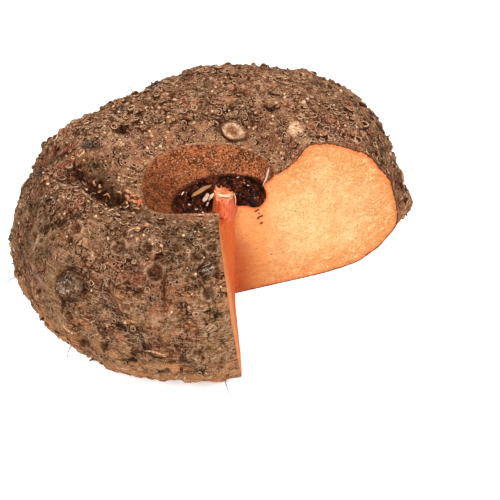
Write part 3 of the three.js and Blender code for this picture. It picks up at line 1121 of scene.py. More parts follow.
def skin_finish(settings):
    """Dry brown skin: mottled, fibrous, painted shade in the hollows and on the shaded sides, pale with
    wear on the knobs, painted highlight dots, tan low down.
    """
    f = Finish("yam_skin", 0.62, 0.03)
    patch, middle, fine = f.noise(24, shift=90), f.noise(9, 3, 0.55, 0.8), f.noise(1.5, 2, 0.65)
    fibres = f.noise(1.0, 2, 0.55, 1.2, f.flow((0.16, 1.2, 1)))
    cross = f.noise(1.0, 2, 0.55, 1.6, f.flow((0.9, 0.22, 1)), shift=31)
    height, along = f.height(), f.mark("along")
    low = f.band(f.ragged(height, patch, 0.06), 0.06, 0.02)
    high = f.band(height, 0.075, 0.11)
    wobbly = f.wobbled(0.0018, 380)

    # broad mottling, then painted shade in the hollows and pale wear on the knobs
    f.ground(f.band(middle, 0.4, 0.6), settings.skin_dark, settings.skin_colour)
    f.coat(settings.skin_rust, f.band(f.noise(46), 0.44, 0.58), f.sum(0.05, f.times(high, 0.75)))
    f.coat(settings.skin_olive, f.band(patch, 0.44, 0.58), f.band(height, 0.06, 0.105, 0.85, 0.6))
    f.coat(settings.skin_low, low, f.band(f.noise(15, shift=7), 0.42, 0.58, 0.35, 0.95))
    worn = f.ragged(f.mark("worn"), fine, 0.6)
    f.coat((50, 21, 5), f.band(worn, -0.02, -0.65), f.band(along, 3.1, 3.7, 0.8, 0.3))
    f.coat(settings.skin_pale, f.band(worn, 0.25, 0.95), 0.45)
    pocks = f.noise(3.6, 2, 0.6, 0.8, shift=63)
    away_from_crown = f.times(f.band(along, 3.4, 3.0), f.band(along, 2.3, 2.7, 0.5, 1.0))
    f.coat((48, 18, 3), f.band(pocks, 0.44, 0.35), away_from_crown, 0.75)
    f.coat((214, 168, 132), f.band(pocks, 0.56, 0.66), away_from_crown, 0.5)
    f.coat((190, 130, 92), f.band(along, 3.2, 3.7), 0.6)

    # dry fibres, wandering cracks and grain, strongest where the skin is roughest
    rough = f.times(f.band(f.noise(13, shift=50), 0.42, 0.6), f.band(low, 0.2, 1.0, 1.0, 0.35))
    roughly = f.sum(0.2, f.times(rough, 0.5))
    f.coat((56, 24, 6), f.band(fine, 0.46, 0.36), roughly)
    f.coat((212, 168, 136), f.band(fine, 0.56, 0.66), 0.6)
    f.coat((64, 29, 8), f.band(fibres, 0.44, 0.37), 0.7)
    f.coat((64, 29, 8), f.band(cross, 0.4, 0.33), roughly)
    f.coat(settings.skin_pale, f.band(fibres, 0.57, 0.63), 0.6)
    f.coat(settings.skin_pale, f.band(cross, 0.61, 0.67), 0.5)
    crack = f.times(f.band(f.webs(7.0, wobbly), 0.07, 0.03), rough)
    f.coat((36, 13, 2), crack, 0.85)
    webbed = f.times(f.band(f.noise(16, shift=20), 0.5, 0.56), f.band(low, 0.3, 0.9, 1.0, 0.3))
    web = f.times(f.band(f.webs(11.0, f.wobbled(0.006, 200), 0.9), 0.025, 0.01), webbed)
    f.coat((216, 178, 138), web, 0.75)
    ridges = f.webs(6.5, f.wobbled(0.006, 240), 0.95)
    ridged = f.band(f.ragged(f.mark("ridged"), patch, 2.0), 0.35, 0.7)
    f.coat((62, 28, 9), f.band(ridges, 0.14, 0.34), ridged, 0.5)
    f.coat((222, 182, 142), f.band(ridges, 0.06, 0.02), ridged, 0.55)

    # the stringy tan film near the foot, and painted shade on the shaded sides
    film = f.noise(11, vector=f.flow((0.35, 1.4, 1)), shift=3)
    f.coat(settings.skin_low, low, f.band(film, 0.46, 0.56), 0.75)
    strand = f.noise(1.0, 3, 0.6, 0.7, f.flow((0.05, 0.75, 1)), shift=12)
    f.coat((84, 40, 16), low, f.band(strand, 0.46, 0.37), 0.75)
    f.coat((232, 168, 108), low, f.band(strand, 0.55, 0.65), 0.7)
    f.coat((66, 32, 11), f.mark("shaded"), 0.3)

    # old pinpricks: pale rings with a dark middle and dark holes, and painted highlight dots, each in a
    # dark ring
    many = f.band(height, 0.075, 0.108, 0.15, 1.0)
    away, chance = f.spots(5.0, wobbly)
    ringed = f.times(f.band(chance, 0.66, 0.68), many)
    rings = f.times(f.band(away, 0.2, 0.24), f.band(away, 0.33, 0.28), ringed)
    holes = f.times(
        f.band(away, 0.22, 0.15), f.band(chance, 0.45, 0.47), f.band(chance, 0.64, 0.62),
        f.sum(0.3, f.times(many, 0.7)),
    )
    holes = f.sum(holes, f.times(f.band(away, 0.21, 0.17), ringed))
    glint_spots = f.times(f.band(chance, 0.3, 0.28), many)
    glint_dots = f.times(f.band(away, 0.16, 0.09), glint_spots)
    by_spot, picked = f.spots(3.7, f.wobbled(0.001, 500), 1)
    by_crown = f.times(f.band(along, 2.9, 3.4), f.band(picked, 0.4, 0.44))
    f.coat((84, 42, 16), f.band(by_spot, 0.46, 0.34), by_crown, 0.55)
    f.coat((234, 190, 138), f.band(by_spot, 0.33, 0.27), by_crown, 0.85)
    f.coat((70, 32, 10), f.band(by_spot, 0.16, 0.1), by_crown, 0.85)
    f.coat((46, 18, 4), f.band(away, 0.34, 0.22), glint_spots, 0.9)
    f.coat((240, 188, 150), glint_dots, 0.9)
    f.coat((214, 168, 134), rings, 0.85)
    f.coat((38, 14, 2), holes, 0.9)

    # large scars, dark places (scar marks and painted shade) and the lip of the crown
    f.coat((226, 116, 74), f.mark("rust"), 0.9)
    ash = f.mix(f.band(f.noise(2.0, 3, 0.7, 0.6), 0.5, 0.62), (40, 27, 18), (216, 200, 184))
    f.coat(ash, f.mark("grey"), 0.9)
    f.coat((34, 13, 3), f.mark("dark"), 0.9)
    bark = f.mix(f.band(fine, 0.34, 0.54), (212, 142, 100), (252, 206, 164))
    f.coat(bark, f.mark("pale"), 0.95)
    f.coat((192, 136, 96), f.band(f.ragged(f.mark("lip"), fine, 0.9), 0.55, 0.95), 0.55)
    bump = f.sum(
        f.times(fine, 0.6), f.times(fibres, 0.9), f.times(cross, 0.7), f.times(strand, low, 1.2),
        f.times(rings, 0.5), f.times(glint_dots, 0.6), f.times(holes, -0.8), f.times(crack, -0.7),
        f.times(web, 0.6), f.times(f.band(ridges, 0.2, 0.02), ridged, 0.8),
    )
    return f.finish(bump, 0.9, 0.0009, f.band(middle, 0.35, 0.65, 0.5, 0.8))


def flesh_finish(settings, name, orange=0.0):
    """Moist cut flesh: yellow in the middle, orange under the skin and towards the inner corner, dark red
    with painted shade low in the corner, granular.
    """
    f = Finish(name, 0.62, 0.1)
    deep, crown, core = f.mark("under_skin"), f.mark("from_crown"), f.mark("from_corner")
    grain, swirl = f.noise(1.25, 2, 0.6), f.noise(6.5, 3, 0.6, 1.6)
    wander = f.ragged(deep, swirl, 16)
    f.ground(f.band(wander, 3.0, 35.0), settings.flesh_rim, settings.flesh_colour)
    f.coat(settings.flesh_rim, f.band(f.noise(24), 0.4, 0.6), 0.45)
    puff = f.noise(10, 3, 0.6, 1.2, shift=14)
    f.coat((255, 226, 166), f.band(puff, 0.5, 0.64, 0.0, 0.25))
    f.coat((232, 158, 92), f.band(puff, 0.48, 0.34, 0.0, 0.3))
    reach_in = f.ragged(core, swirl, 9)
    f.coat((248, 172, 106), f.band(reach_in, 46.0, 24.0), 0.5)
    f.coat((250, 164, 98), f.band(reach_in, 29.0, 20.0), 0.85)
    # painted shade: dark red low down in the inner corner
    lower = f.sum(core, f.times(f.band(f.height(), 0.02, 0.075), 16))
    f.coat((208, 92, 42), f.band(lower, 22.0, 3.0), 0.85)
    if orange:
        f.coat((242, 134, 66), f.band(wander, 60.0, 16.0, 0.3, 0.75))
        f.coat((232, 106, 46), f.band(f.ragged(core, swirl, 30), 84.0, 30.0), orange)
        fibre = f.noise(1.0, 2, 0.6, 0.8, f.vector(f.where, (500, 330, 45), "MULTIPLY"))
        f.coat((160, 56, 28), f.band(crown, 26.0, 3.0), f.band(fibre, 0.52, 0.34), 0.6)

    # curled lines, grain and a few nicks
    curls = f.noise(4.2, 2, 0.5, 1.8, shift=4)
    away = f.band(core, 16.0, 44.0, 0.12, 0.62)
    line = f.band(f.sum(f.sum(curls, -0.5), 0, how="ABSOLUTE"), 0.03, 0.01)
    light_line = f.band(f.sum(f.sum(curls, -0.57), 0, how="ABSOLUTE"), 0.035, 0.012)
    f.coat((226, 144, 78), line, away, 0.8)
    f.coat((255, 226, 160), light_line, away, 1.1 - 0.7 * orange)
    f.coat((214, 120, 58), f.band(grain, 0.43, 0.32), 0.55)
    f.coat((255, 230, 174), f.band(grain, 0.6, 0.7), away, 0.5 - 0.4 * orange)
    nick, chance = f.spots(7.0, channel=1)
    f.coat((116, 58, 32), f.band(nick, 0.13, 0.06), f.band(chance, 0.9, 0.92), 0.8)

    # the edges under the crown and under the skin
    f.coat((224, 98, 58), f.band(f.ragged(crown, grain, 2), 2.4, 0.8), 0.7)
    edge = f.ragged(deep, f.noise(3.4, 3, 0.7), 3.4)
    f.coat((228, 118, 62), f.band(edge, 4.6, 1.4), 0.6)
    f.coat((96, 52, 31), f.band(edge, 1.25, 0.75))
    return f.finish(f.sum(f.times(grain, 0.7), f.times(line, -0.5)), 0.8, 0.0005)


def crown_finish(settings):
    """The reddish-brown wall of the crown, stippled with dark pores, with painted shade on its left side.
    """
    f = Finish("yam_crown_wall", 0.6, 0.04)
    fine = f.noise(1.3, 2, 0.65)
    f.ground(f.band(f.noise(7, 3, 0.55), 0.4, 0.58), (80, 34, 9), settings.crown_colour)
    f.coat((118, 64, 32), f.band(f.noise(13, shift=9), 0.46, 0.6), 0.45)
    f.coat((208, 142, 102), f.band(fine, 0.53, 0.63), 0.75)
    f.coat((62, 24, 6), f.band(fine, 0.47, 0.35), 0.8)
    away, deepness = f.spots(2.0, f.wobbled(0.0016, 300), 1)
    ring = f.times(f.band(away, 0.36, 0.44), f.band(away, 0.62, 0.5))
    f.coat((192, 126, 84), ring, f.band(deepness, 0.2, 0.8, 0.1, 0.5))
    f.coat((46, 14, 2), f.band(away, 0.42, 0.2), f.band(deepness, 0.2, 0.9, 0.1, 1.0))
    grain, bright = f.spots(2.9, f.wobbled(0.001, 260), 2)
    f.coat((226, 168, 132), f.band(grain, 0.22, 0.12), f.band(bright, 0.6, 0.66), 0.8)
    fleck, chance = f.spots(5.2)
    f.coat((226, 170, 132), f.band(fleck, 0.12, 0.07), f.band(chance, 0.7, 0.72), 0.8)
    # painted shade on the left of the wall, from the dark mark
    f.coat((66, 22, 2), f.mark("dark"))
    f.coat((210, 152, 108), f.band(f.mark("lip"), 0.4, 0.9), 0.6)
    f.coat((58, 22, 12), f.band(f.ragged(f.mark("along"), fine, 0.12), 4.86, 4.98), 0.85)
    return f.finish(f.sum(f.band(away, 0.2, 0.36), f.times(fine, 0.9)), 0.8, 0.0006)


def tissue_finish(settings, name, beside_core=False):
    """Dark, wet, torn tissue where the shoot stood, with pale specks of painted highlight."""
    f = Finish(name, 0.5, 0.12)
    grain, streak = f.noise(2.0, 3, 0.65), f.noise(6, 2, 0.5, 1.0)
    f.ground(f.band(streak, 0.42, 0.62), settings.tissue_colour, (96, 38, 15))
    f.coat((150, 78, 44), f.band(grain, 0.57, 0.68), 0.65)
    # pale specks: painted highlights
    f.coat((236, 190, 160), f.band(grain, 0.66, 0.7), 0.85)
    if beside_core:
        f.coat((226, 98, 50), f.band(f.ragged(f.mark("by_core"), streak, 0.5), 1.05, 0.85))
    return f.finish(grain, 0.9, 0.001, f.band(grain, 0.35, 0.65, 0.4, 0.65))


def marked_finish(name, stops, roughness=0.75, fade=0.35):
    """Small pieces coloured by how far out a point is, and lighter or darker piece by piece."""
    f = Finish(name, roughness, 0.04)
    fine, who = f.noise(1.4, 3, 0.6), f.mark("who")
    node = f.node("ShaderNodeValToRGB", {"Fac": f.ragged(f.mark("part"), fine, 0.25)})
    ramp_stops = node.color_ramp.elements
    while len(ramp_stops) < len(stops):
        ramp_stops.new(0.5)
    for stop, (position, *tone) in zip(ramp_stops, stops):
        stop.position = position
        stop.color = (*shade(*tone), 1)
    f.colour = node.outputs["Color"]
    plain = f.mix(f.band(f.noise(9, 3, 0.6), 0.38, 0.62), (90, 48, 22), (154, 112, 82))
    f.coat(plain, f.band(who, fade, 0.0), 0.8)
    f.coat((232, 182, 134), f.band(who, 0.8, 1.0), 0.45)
    f.coat((46, 20, 6), f.band(fine, 0.45, 0.3), 0.7)
    return f.finish(fine, 0.6, 0.0005)


def grainy_finish(name, roughness, specular, size, tones, by_piece=False, darker=None, deep=0.0003):
    """Two tones, mixed by grain or piece by piece, and a darker tone in the grain's hollows."""
    f = Finish(name, roughness, specular)
    fine = f.noise(size, 2, 0.6)
    low, high, first, second = tones
    f.ground(f.band(f.mark("who") if by_piece else fine, low, high), first, second)
    if darker is not None:
        level, tone = darker
        f.coat(tone, f.band(fine, 0.5, level), 0.6)
    return f.finish(fine, 0.5, deep)


# ---- Settings a user would change ----


def length(name, description, default, low=0.0001, high=1.0):
    """A length setting, in metres."""
    return bpy.props.FloatProperty(
        name=name, description=description, default=default, min=low, max=high,
        subtype="DISTANCE", unit="LENGTH", precision=4,
    )


def tone(name, description, *colour):
    """A colour setting, its default given from 0 to 255."""
    return bpy.props.FloatVectorProperty(
        name=name, description=description, default=shade(*colour), size=3, min=0, max=1, subtype="COLOR",
    )


def how_many(name, description, default, high=20000):
    """A setting that counts things."""
    return bpy.props.IntProperty(name=name, description=description, default=default, min=0, max=high)


def power(name, description, default):
    """A setting for the power of a light, in watts."""
    return bpy.props.FloatProperty(
        name=name, description=description, default=default, min=0, max=1000, unit="POWER",
    )


class CormSettings(bpy.types.PropertyGroup):
    """Mesh and colours of the corm body."""
    spacing: length("Mesh spacing", "Distance between points of the mesh", 0.00138, 0.0008, 0.01)
    skin_colour: tone("Skin", "Main brown of the skin", 176, 111, 70)
    skin_dark: tone("Skin shadow", "Darker brown of its mottling", 96, 46, 17)
    skin_pale: tone("Skin fibres", "Pale dry fibres", 220, 174, 140)
    skin_rust: tone("Rust patches", "Reddish patches on the top", 156, 80, 52)
    skin_olive: tone("Olive patches", "Greyish patches", 148, 112, 74)
    skin_low: tone("Low skin", "Tan skin near the foot", 210, 142, 90)
    flesh_colour: tone("Flesh", "Yellow flesh in the middle of the cut faces", 242, 202, 138)
    flesh_rim: tone("Flesh rim", "Orange flesh under the skin", 232, 148, 84)
    crown_colour: tone("Crown wall", "Reddish brown wall of the crown", 166, 90, 50)
    tissue_colour: tone("Dead tissue", "Dark torn tissue in the crown", 32, 13, 7)


class ScarSettings(bpy.types.PropertyGroup):
    """Roughness of the skin, and what covers it."""
    relief: bpy.props.FloatProperty(
        name="Relief", description="How rough the skin is, 1 as grown", default=1.0, min=0, max=3,
        subtype="FACTOR",
    )
    rings: how_many("Root scars", "How many ring-shaped root scars the skin carries", 1600)
    ring_radius: length("Scar radius", "Middle radius of a root scar", 0.00124, 0.0003, 0.01)
    slivers: how_many("Fibres", "How many loose fibres lie on the skin", 2300)
    curls: how_many("Bark curls", "How many curled edges of bark stand on the skin", 480)


class RootSettings(bpy.types.PropertyGroup):
    """Root stubs and the few roots left."""
    stubs: how_many("Root stubs", "How many broken root stubs stand out", 420)
    hairs: how_many("Hair roots", "How many thin dry roots are left", 14)
    stub_length: length("Stub length", "Middle length of a root stub", 0.0022, 0.0005, 0.02)


class ShootSettings(bpy.types.PropertyGroup):
    """Remains of the shoot."""
    shreds: how_many("Shreds", "How many torn strips lie in the crown", 200, 1000)


class StageSettings(bpy.types.PropertyGroup):
    """Floor, lights and camera."""
    floor_colour: tone("Floor", "Plain pale floor", 244, 244, 244)
    elevation: bpy.props.FloatProperty(
        name="Elevation", description="How far above level the camera looks down from",
        default=math.radians(42), subtype="ANGLE", unit="ROTATION",
    )
    distance: length("Distance", "From the camera to the corm", 1.2, 0.2, 10)
    lens: bpy.props.FloatProperty(
        name="Lens", description="Focal length in millimetres", default=125.6, min=20, max=400,
    )
    key_power: power("Key light", "Power of the main light, over the front left", 15.2)
    back_power: power("Back light", "Power of the softer light behind", 5.0)
    fill_power: power("Fill light", "Power of the light over the front right", 9.0)


# ---- Operators, one for each piece or group of like pieces ----


class YAM_OT_corm(bpy.types.Operator):
    """Build the corm: rough skin, crown and the two cut faces"""

    bl_idname = "yam.corm"
    bl_label = "Corm"

    def execute(self, context):
        settings = context.scene.yam_corm
        points, faces, finish, marks = corm_arrays(settings, context.scene.yam_scars)
        finishes = [
            skin_finish(settings), flesh_finish(settings, "yam_flesh"), crown_finish(settings),
            tissue_finish(settings, "yam_dead_tissue", beside_core=True),
            flesh_finish(settings, "yam_flesh_near_core", 0.92),
        ]
        piece = make_piece("corm_body", placed(points), faces, finishes, finish, marks, sharp=55)
        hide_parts("corm")
        return {"FINISHED"}


class YAM_OT_root_scars(bpy.types.Operator):
    """Set ring-shaped root scars on the skin, closest together near the crown"""

    bl_idname = "yam.root_scars"
    bl_label = "Root scars"

    # a scar from its skirt over the rim to its dished middle, for a radius of 1
    RADII = (1.35, 1.1, 0.96, 0.82, 0.5, 0)
    HEIGHTS = (-0.7, 0.0, 0.28, 0.1, -0.28, -0.34)
    # the dark first stop, at the skirt, is painted shade round the foot of each scar
    STOPS = [
        (0.0, 54, 24, 8), (0.2, 98, 54, 28), (0.4, 246, 206, 166),
        (0.56, 126, 70, 38), (0.7, 38, 14, 3), (1.0, 118, 56, 30),
    ]

    def execute(self, context):
        skin = Skin()
        rng = np.random.default_rng(17)
        marked = skin.mark("scar")
        busy = skin.mark("pale") + skin.mark("dark") + skin.mark("grey")
        chosen = np.flatnonzero((marked > 0) & (busy < 0.35))
        normals = unit(skin.rest[chosen])
        count = len(chosen)
        shape, faces, ring = dished_ring(12, self.RADII, self.HEIGHTS)
        size = marked[chosen] * MM
        turn = np.arctan2(shape[:, 1], shape[:, 0])[None]
        phase, uneven = rng.uniform(0, 2 * math.pi, (3, count, 1)), rng.uniform(0, 0.16, (3, count, 1))
        wobble = 1 + sum(uneven[k] * np.sin((k + 1) * turn + phase[k]) for k in range(3))
        wobble = (wobble * (1 + rng.uniform(-0.08, 0.08, wobble.shape)))[..., None]
        rise = 1 + rng.uniform(-0.4, 0.4, wobble.shape)
        shapes = shape[None] * np.concatenate([wobble, wobble, rise], -1)

        # some are only small filled dots
        dots = rng.random(count) < 0.28
        shapes[dots, :, 2] = shape[None, :, 2] * 0.4 + np.where(ring >= 3, 0.45, 0.1)[None]
        shapes[dots] *= 0.5
        across, up = turned_sides(normals, rng.uniform(0, math.pi, count))
        lean = rng.normal(0, 0.22, (2, count, 1))
        normals = unit(normals + across * lean[0] + up * lean[1])
        across = unit(across - (across * normals).sum(-1, keepdims=True) * normals)
        up = np.cross(normals, across)
        wide, tall = rng.uniform(0.85, 1.35, count), rng.uniform(0.8, 1.5, count)
        sizes = np.stack([size * wide, size, size * tall], -1)
        points, faces = copies(shapes, faces, skin.points[chosen], across, up, normals, sizes)
        part = np.tile(ring / 5, (count, 1))
        part[dots] = 0.3 + 0.12 * part[dots]
        marks = dict(part=part.ravel(), who=np.repeat(rng.random(count), len(shape)))
        finish = marked_finish("yam_root_scars", self.STOPS, fade=0.3)
        make_piece("root_scars", points, faces, [finish], marks=marks)
        return {"FINISHED"}


class YAM_OT_fibres(bpy.types.Operator):
    """Lay thin dry fibres and flakes of bark on the skin"""

    bl_idname = "yam.fibres"
    bl_label = "Skin fibres"

    STOPS = [(0.0, 194, 148, 114), (0.55, 148, 102, 70), (1.0, 84, 44, 20)]

    def execute(self, context):
        settings = context.scene.yam_scars
        skin = Skin()
        rng = np.random.default_rng(29)
        along = skin.along
        liking = ease(along, 1.0, 1.3) * (1 - ease(along, 3.9, 3.97)) * (1 - 0.9 * skin.face_mark("dark"))
        straight = self.lines(skin, rng, settings.slivers, liking)
        curled = self.curls(skin, rng, settings.curls, liking * (0.12 + ease(along, 2.1, 2.7)))
        parts, shares, who = [], [], []
        for line, normals, width, rise in straight + curled:
            parts.append(self.strip(line, normals, width, rise, rng))
            shares.append(np.repeat(np.abs(np.linspace(-1, 1, len(line))), 3))
            who.append(rng.random())
        points, faces, owner = merged(parts)
        marks = dict(part=np.concatenate(shares), who=np.array(who)[owner])
        make_piece("skin_fibres", points, faces, [marked_finish("yam_fibres", self.STOPS)], marks=marks)
        return {"FINISHED"}

    def strip(self, line, normals, width, rise, rng):
        """A thin closed strip with a ridge, tapered to both ends, its two edges sunk in the skin."""
        steps = len(line)
        side = unit(np.cross(normals, np.gradient(line, axis=0)))
        shape = tapered(steps, 1, 0.03, 3)[:, None]
        sunk = line - normals * 0.0002
        top = line + normals * shape * rise + side * width * rng.uniform(-0.9, 0.9)
        points = np.stack([sunk + side * shape * width, top, sunk - side * shape * width], 1).reshape(-1, 3)
        faces = [(0, 1, 2), (steps * 3 - 3, steps * 3 - 1, steps * 3 - 2)]
        for first in range(0, steps * 3 - 3, 3):
            for a, b in ((0, 1), (1, 2), (2, 0)):
                a, b = first + a, first + b
                faces += [(a, b + 3, b), (a, a + 3, b + 3)]
        return points, np.array(faces)

    def lines(self, skin, rng, count, liking):
        """Nearly straight loose fibres."""
        points, normals = skin.scatter(count, 0.0017, 5, liking)
        lean = rng.normal(0, 0.6, len(points)) + np.where(rng.random(len(points)) < 0.4, math.pi / 2, 0)
        across, up = turned_sides(normals, lean)
        steps = np.linspace(-1, 1, 6)[:, None]
        found = []
        for p, a, u in zip(points, across, up):
            span, bend = rng.uniform(0.0014, 0.0042), rng.normal(0, 0.35)
            # they are longest at the right of the back
            span *= 2.0 if p[0] > 0.04 and p[1] > 0 else 1
            line, out = skin.snap(p + a * steps * span + u * steps ** 2 * bend * span)
            found.append((line, out, rng.uniform(0.00014, 0.0004), rng.uniform(0.00025, 0.0008)))
        return found

    def curls(self, skin, rng, count, liking):
        """Curled edges of bark that half surround the knobs, mostly on their upper side."""
        points, normals = skin.scatter(count, 0.0034, 9, liking)
        across, up = turned_sides(normals, rng.normal(0, 0.9, len(points)))
        found = []
        for p, a, u in zip(points, across, up):
            radius, arc = rng.uniform(0.0013, 0.0034), rng.uniform(0.7, 1.7)
            turn = np.linspace(math.pi / 2 - arc, math.pi / 2 + arc, 9)[:, None]
            squash = rng.uniform(0.6, 1.0)
            line, out = skin.snap(p + (a * np.cos(turn) + u * np.sin(turn) * squash) * radius)
            found.append((line, out, rng.uniform(0.00016, 0.00042), rng.uniform(0.0003, 0.0010)))
        return found


# past 1 a bark strip is no longer red but dark
DARK_RED = 1.2


class YAM_OT_roots(bpy.types.Operator):
    """Add root stubs, thin dry roots, loose strips of bark and the dry lip of the crown"""

    bl_idname = "yam.roots"
    bl_label = "Roots"

    # dry roots at set places: (azimuth, along) points, thickness at the base in mm, lift in mm
    KEPT_ROOTS = [
        ([(242.6, 2.62), (243.4, 2.55), (244.2, 2.48), (245.2, 2.43)], 1.0, 1.0),
        ([(226.5, 2.50), (228.0, 2.44), (230.0, 2.38), (232.0, 2.31)], 1.1, 0.8),
        ([(254.5, 2.60), (256.6, 2.55), (259.0, 2.49), (261.2, 2.43)], 0.8, 0.8),
        ([(241.0, 2.09), (243.5, 2.08), (246.5, 2.09), (249.0, 2.10)], 1.0, 1.2),
        ([(244.6, 2.24), (246.2, 2.20), (247.8, 2.14), (249.0, 2.09)], 0.9, 2.6),
        ([(213.0, 2.30), (213.6, 2.22), (213.2, 2.15)], 1.1, 1.0),
    ]
    # loose strips of bark at set places: (azimuth, along) points, half width and lift in mm, how red
    BARK_STRIPS = [
        ([(240.0, 2.10), (243.0, 2.12), (246.0, 2.11), (248.8, 2.12)], 1.1, 0.9, 0.0),
        ([(192.6, 3.88), (194.5, 3.97), (196.6, 3.92)], 2.0, 2.2, 1.0),
        ([(184.5, 3.79), (186.3, 3.86), (188.0, 3.90)], 1.3, 1.6, 0.5),
        ([(188.5, 3.86), (190.5, 3.95), (191.5, 3.98)], 1.2, 2.4, 0.4),
        ([(172.4, 3.66), (173.2, 3.78), (172.6, 3.88), (174.2, 3.97)], 0.5, 0.7, 0.0),
        ([(191.0, 3.84), (193.2, 3.92), (194.2, 4.0)], 1.5, 1.6, 0.7),
        ([(187.5, 3.80), (189.5, 3.84), (191.0, 3.83)], 1.3, 1.4, 0.6),
        ([(184.5, 3.70), (186.0, 3.76)], 1.0, 1.0, 0.3),
        ([(197.5, 3.84), (199.0, 3.88), (200.5, 3.9)], 0.8, 0.8, 0.2),
        ([(221.5, 2.86), (223.0, 2.90), (224.6, 2.91)], 1.4, 0.6, 0.0),
        ([(224.5, 2.95), (226.0, 2.98), (227.8, 2.97)], 1.2, 0.6, 0.0),
        ([(223.5, 2.99), (225.0, 3.03)], 1.0, 0.5, 0.0),
        ([(214.2, 2.08), (216.4, 2.05)], 0.9, 0.5, 0.0),
        ([(252.2, 2.31), (253.2, 2.30)], 0.9, 0.7, 1.0),
        ([(253.4, 2.34), (254.2, 2.33)], 0.8, 0.7, 0.9),
    ]
    STOPS = [(0.0, 96, 56, 28), (0.5, 66, 34, 14), (1.0, 120, 80, 50)]

    def execute(self, context):
        settings = context.scene.yam_roots
        skin = Skin()
        rng = np.random.default_rng(41)
        roots = self.stubs(skin, rng, settings) + self.kept_roots(skin) + self.hairs(skin, rng, settings)
        points, faces, owner = merged([tube(path, radii, sides) for path, radii, sides, _ in roots])
        part = np.concatenate([tube_share(share, sides) for *_, sides, share in roots])
        marks = dict(part=part, who=0.75 * rng.random(len(roots))[owner])
        make_piece("roots", points, faces, [marked_finish("yam_roots", self.STOPS, 0.7)], marks=marks)
        self.bark_strips(skin, rng)
        self.crown_lip(skin)
        return {"FINISHED"}

    def stubs(self, skin, rng, settings):
        """Short broken stubs all over the skin: path, radii, number of sides and share of the way."""
        along = skin.along
        liking = ease(along, 1.02, 1.2) * (1 - ease(along, 3.8, 3.95)) * (0.35 + (along > 1.6))
        found = []
        share = np.linspace(0, 1, 5)
        t = share[:, None]
        for p, n in zip(*skin.scatter(settings.stubs, 0.004, 7, liking)):
            reach_out = settings.stub_length * math.exp(rng.normal(-0.25, 0.45))
            thick = rng.uniform(0.00045, 0.0012)
            lean = unit(n + rng.normal(0, 0.5, 3))
            droop = rng.normal(0, 0.35, 3)
            path = p - n * 0.0006 + (lean * t + droop * t * t * 0.6) * reach_out
            found.append((path, thick * np.array([1.35, 1.1, 0.95, 0.8, 0.45]), 6, share))
        return found

    def kept_roots(self, skin):
        """The few thicker dry roots that lie on the skin."""
        found = []
        share = np.linspace(0, 1, 16)
        for places, thick, lift in self.KEPT_ROOTS:
            spots, outs = skin.at(places)
            path, out = drawn_through(spots, 16), unit(drawn_through(outs, 16))
            path = path + out * (0.0004 + lift * MM * np.sin(np.pi * share) ** 0.7)[:, None]
            path += 0.0003 * np.sin(share * 9)[:, None] * np.cross(out, UP)
            found.append((path, thick * MM * (1 - 0.65 * share), 7, share))
        return found

    def hairs(self, skin, rng, settings):
        """Thin dry roots that hang down from the lower half."""
        low = ease(skin.along, 1.1, 1.4) * (1 - ease(skin.along, 2.4, 2.9))
        found = []
        share = np.linspace(0, 1, 12)
        t = share[:, None]
        for p, n in zip(*skin.scatter(settings.hairs, 0.012, 11, low)):
            span = rng.uniform(0.008, 0.022)
            east, _ = local_sides(n)
            down = -UP + n * 0.5 + east * rng.normal(0, 0.5)
            path = p - n * 0.0004 + (n * t * (1 - t) * 1.3 + down * t * t * 0.8) * span
            path[:, 2] = np.maximum(path[:, 2], 0.0004)
            found.append((path, 0.00022 * (1.3 - share), 5, share))
        return found

    def crown_lip(self, skin):
        """The thin dry edge that stands round the crown."""
        spots, outs = skin.at([(azimuth, 3.965) for azimuth in np.linspace(24, 262, 260)])
        spots += 0.0003 * outs
        width = 0.0005 * (0.5 + 1.4 * rolling(spots / MM, 11, 3) + 0.5 * rolling(spots / MM, 3, 4))
        points, faces = tube(spots, np.clip(width, 0.00008, 0.0007), 6)
        tones = (0.42, 0.62, (166, 108, 70), (230, 180, 144))
        make_piece("crown_lip", points, faces, [grainy_finish("yam_crown_lip", 0.6, 0.05, 1.6, tones)])

    def bark_strips(self, skin, rng):
        """Loose strips at set places, and short flakes scattered down the valley beside the crown."""
        strips = list(self.BARK_STRIPS)
        for down in rng.uniform(0, 1, 30):
            azimuth = 175 + 21 * down + rng.normal(0, 1.2)
            along = 3.15 + 0.78 * down + rng.normal(0, 0.07)
            turn, span, slant = rng.uniform(-0.04, 0.04), rng.uniform(0.4, 1.1), rng.uniform(-0.04, 0.05)
            places = [
                (azimuth + span * k, min(along + slant * span * k + turn * k * k, 3.97)) for k in (-1, 0, 1)
            ]
            wide, lift = rng.uniform(0.25, 0.8), rng.uniform(0.1, 0.6)
            strips.append((places, wide, lift, rng.choice((0.0, 0.3, DARK_RED, DARK_RED))))
        parts, reds = [], []
        shape = tapered(12, 1.04, 0.04)
        for places, wide, lift, red in strips:
            spots, outs = skin.at(places)
            path, out = drawn_through(spots, 12), unit(drawn_through(outs, 12))
            path = path + out * (lift * MM * shape * rng.uniform(0.7, 1.2, 12))[:, None]
            parts.append(tube(path, wide * MM * shape * rng.uniform(0.75, 1.2, 12), 8, flat=0.4))
            reds.append(red)
        points, faces, owner = merged(parts)
        f = Finish("yam_bark_strips", 0.65, 0.05)
        fine, red = f.noise(1.3, 2, 0.6), f.mark("who")
        f.ground(red, (204, 154, 112), (206, 108, 68))
        f.coat((84, 40, 18), f.band(red, 1.02, DARK_RED - 0.1))
        f.coat((116, 62, 36), f.band(fine, 0.5, 0.36), 0.7)
        f.coat((250, 204, 160), f.band(fine, 0.56, 0.66), 0.6)
        finish = f.finish(fine, 0.6, 0.0004)
        make_piece("bark_strips", points, faces, [finish], marks=dict(who=np.array(reds)[owner]))


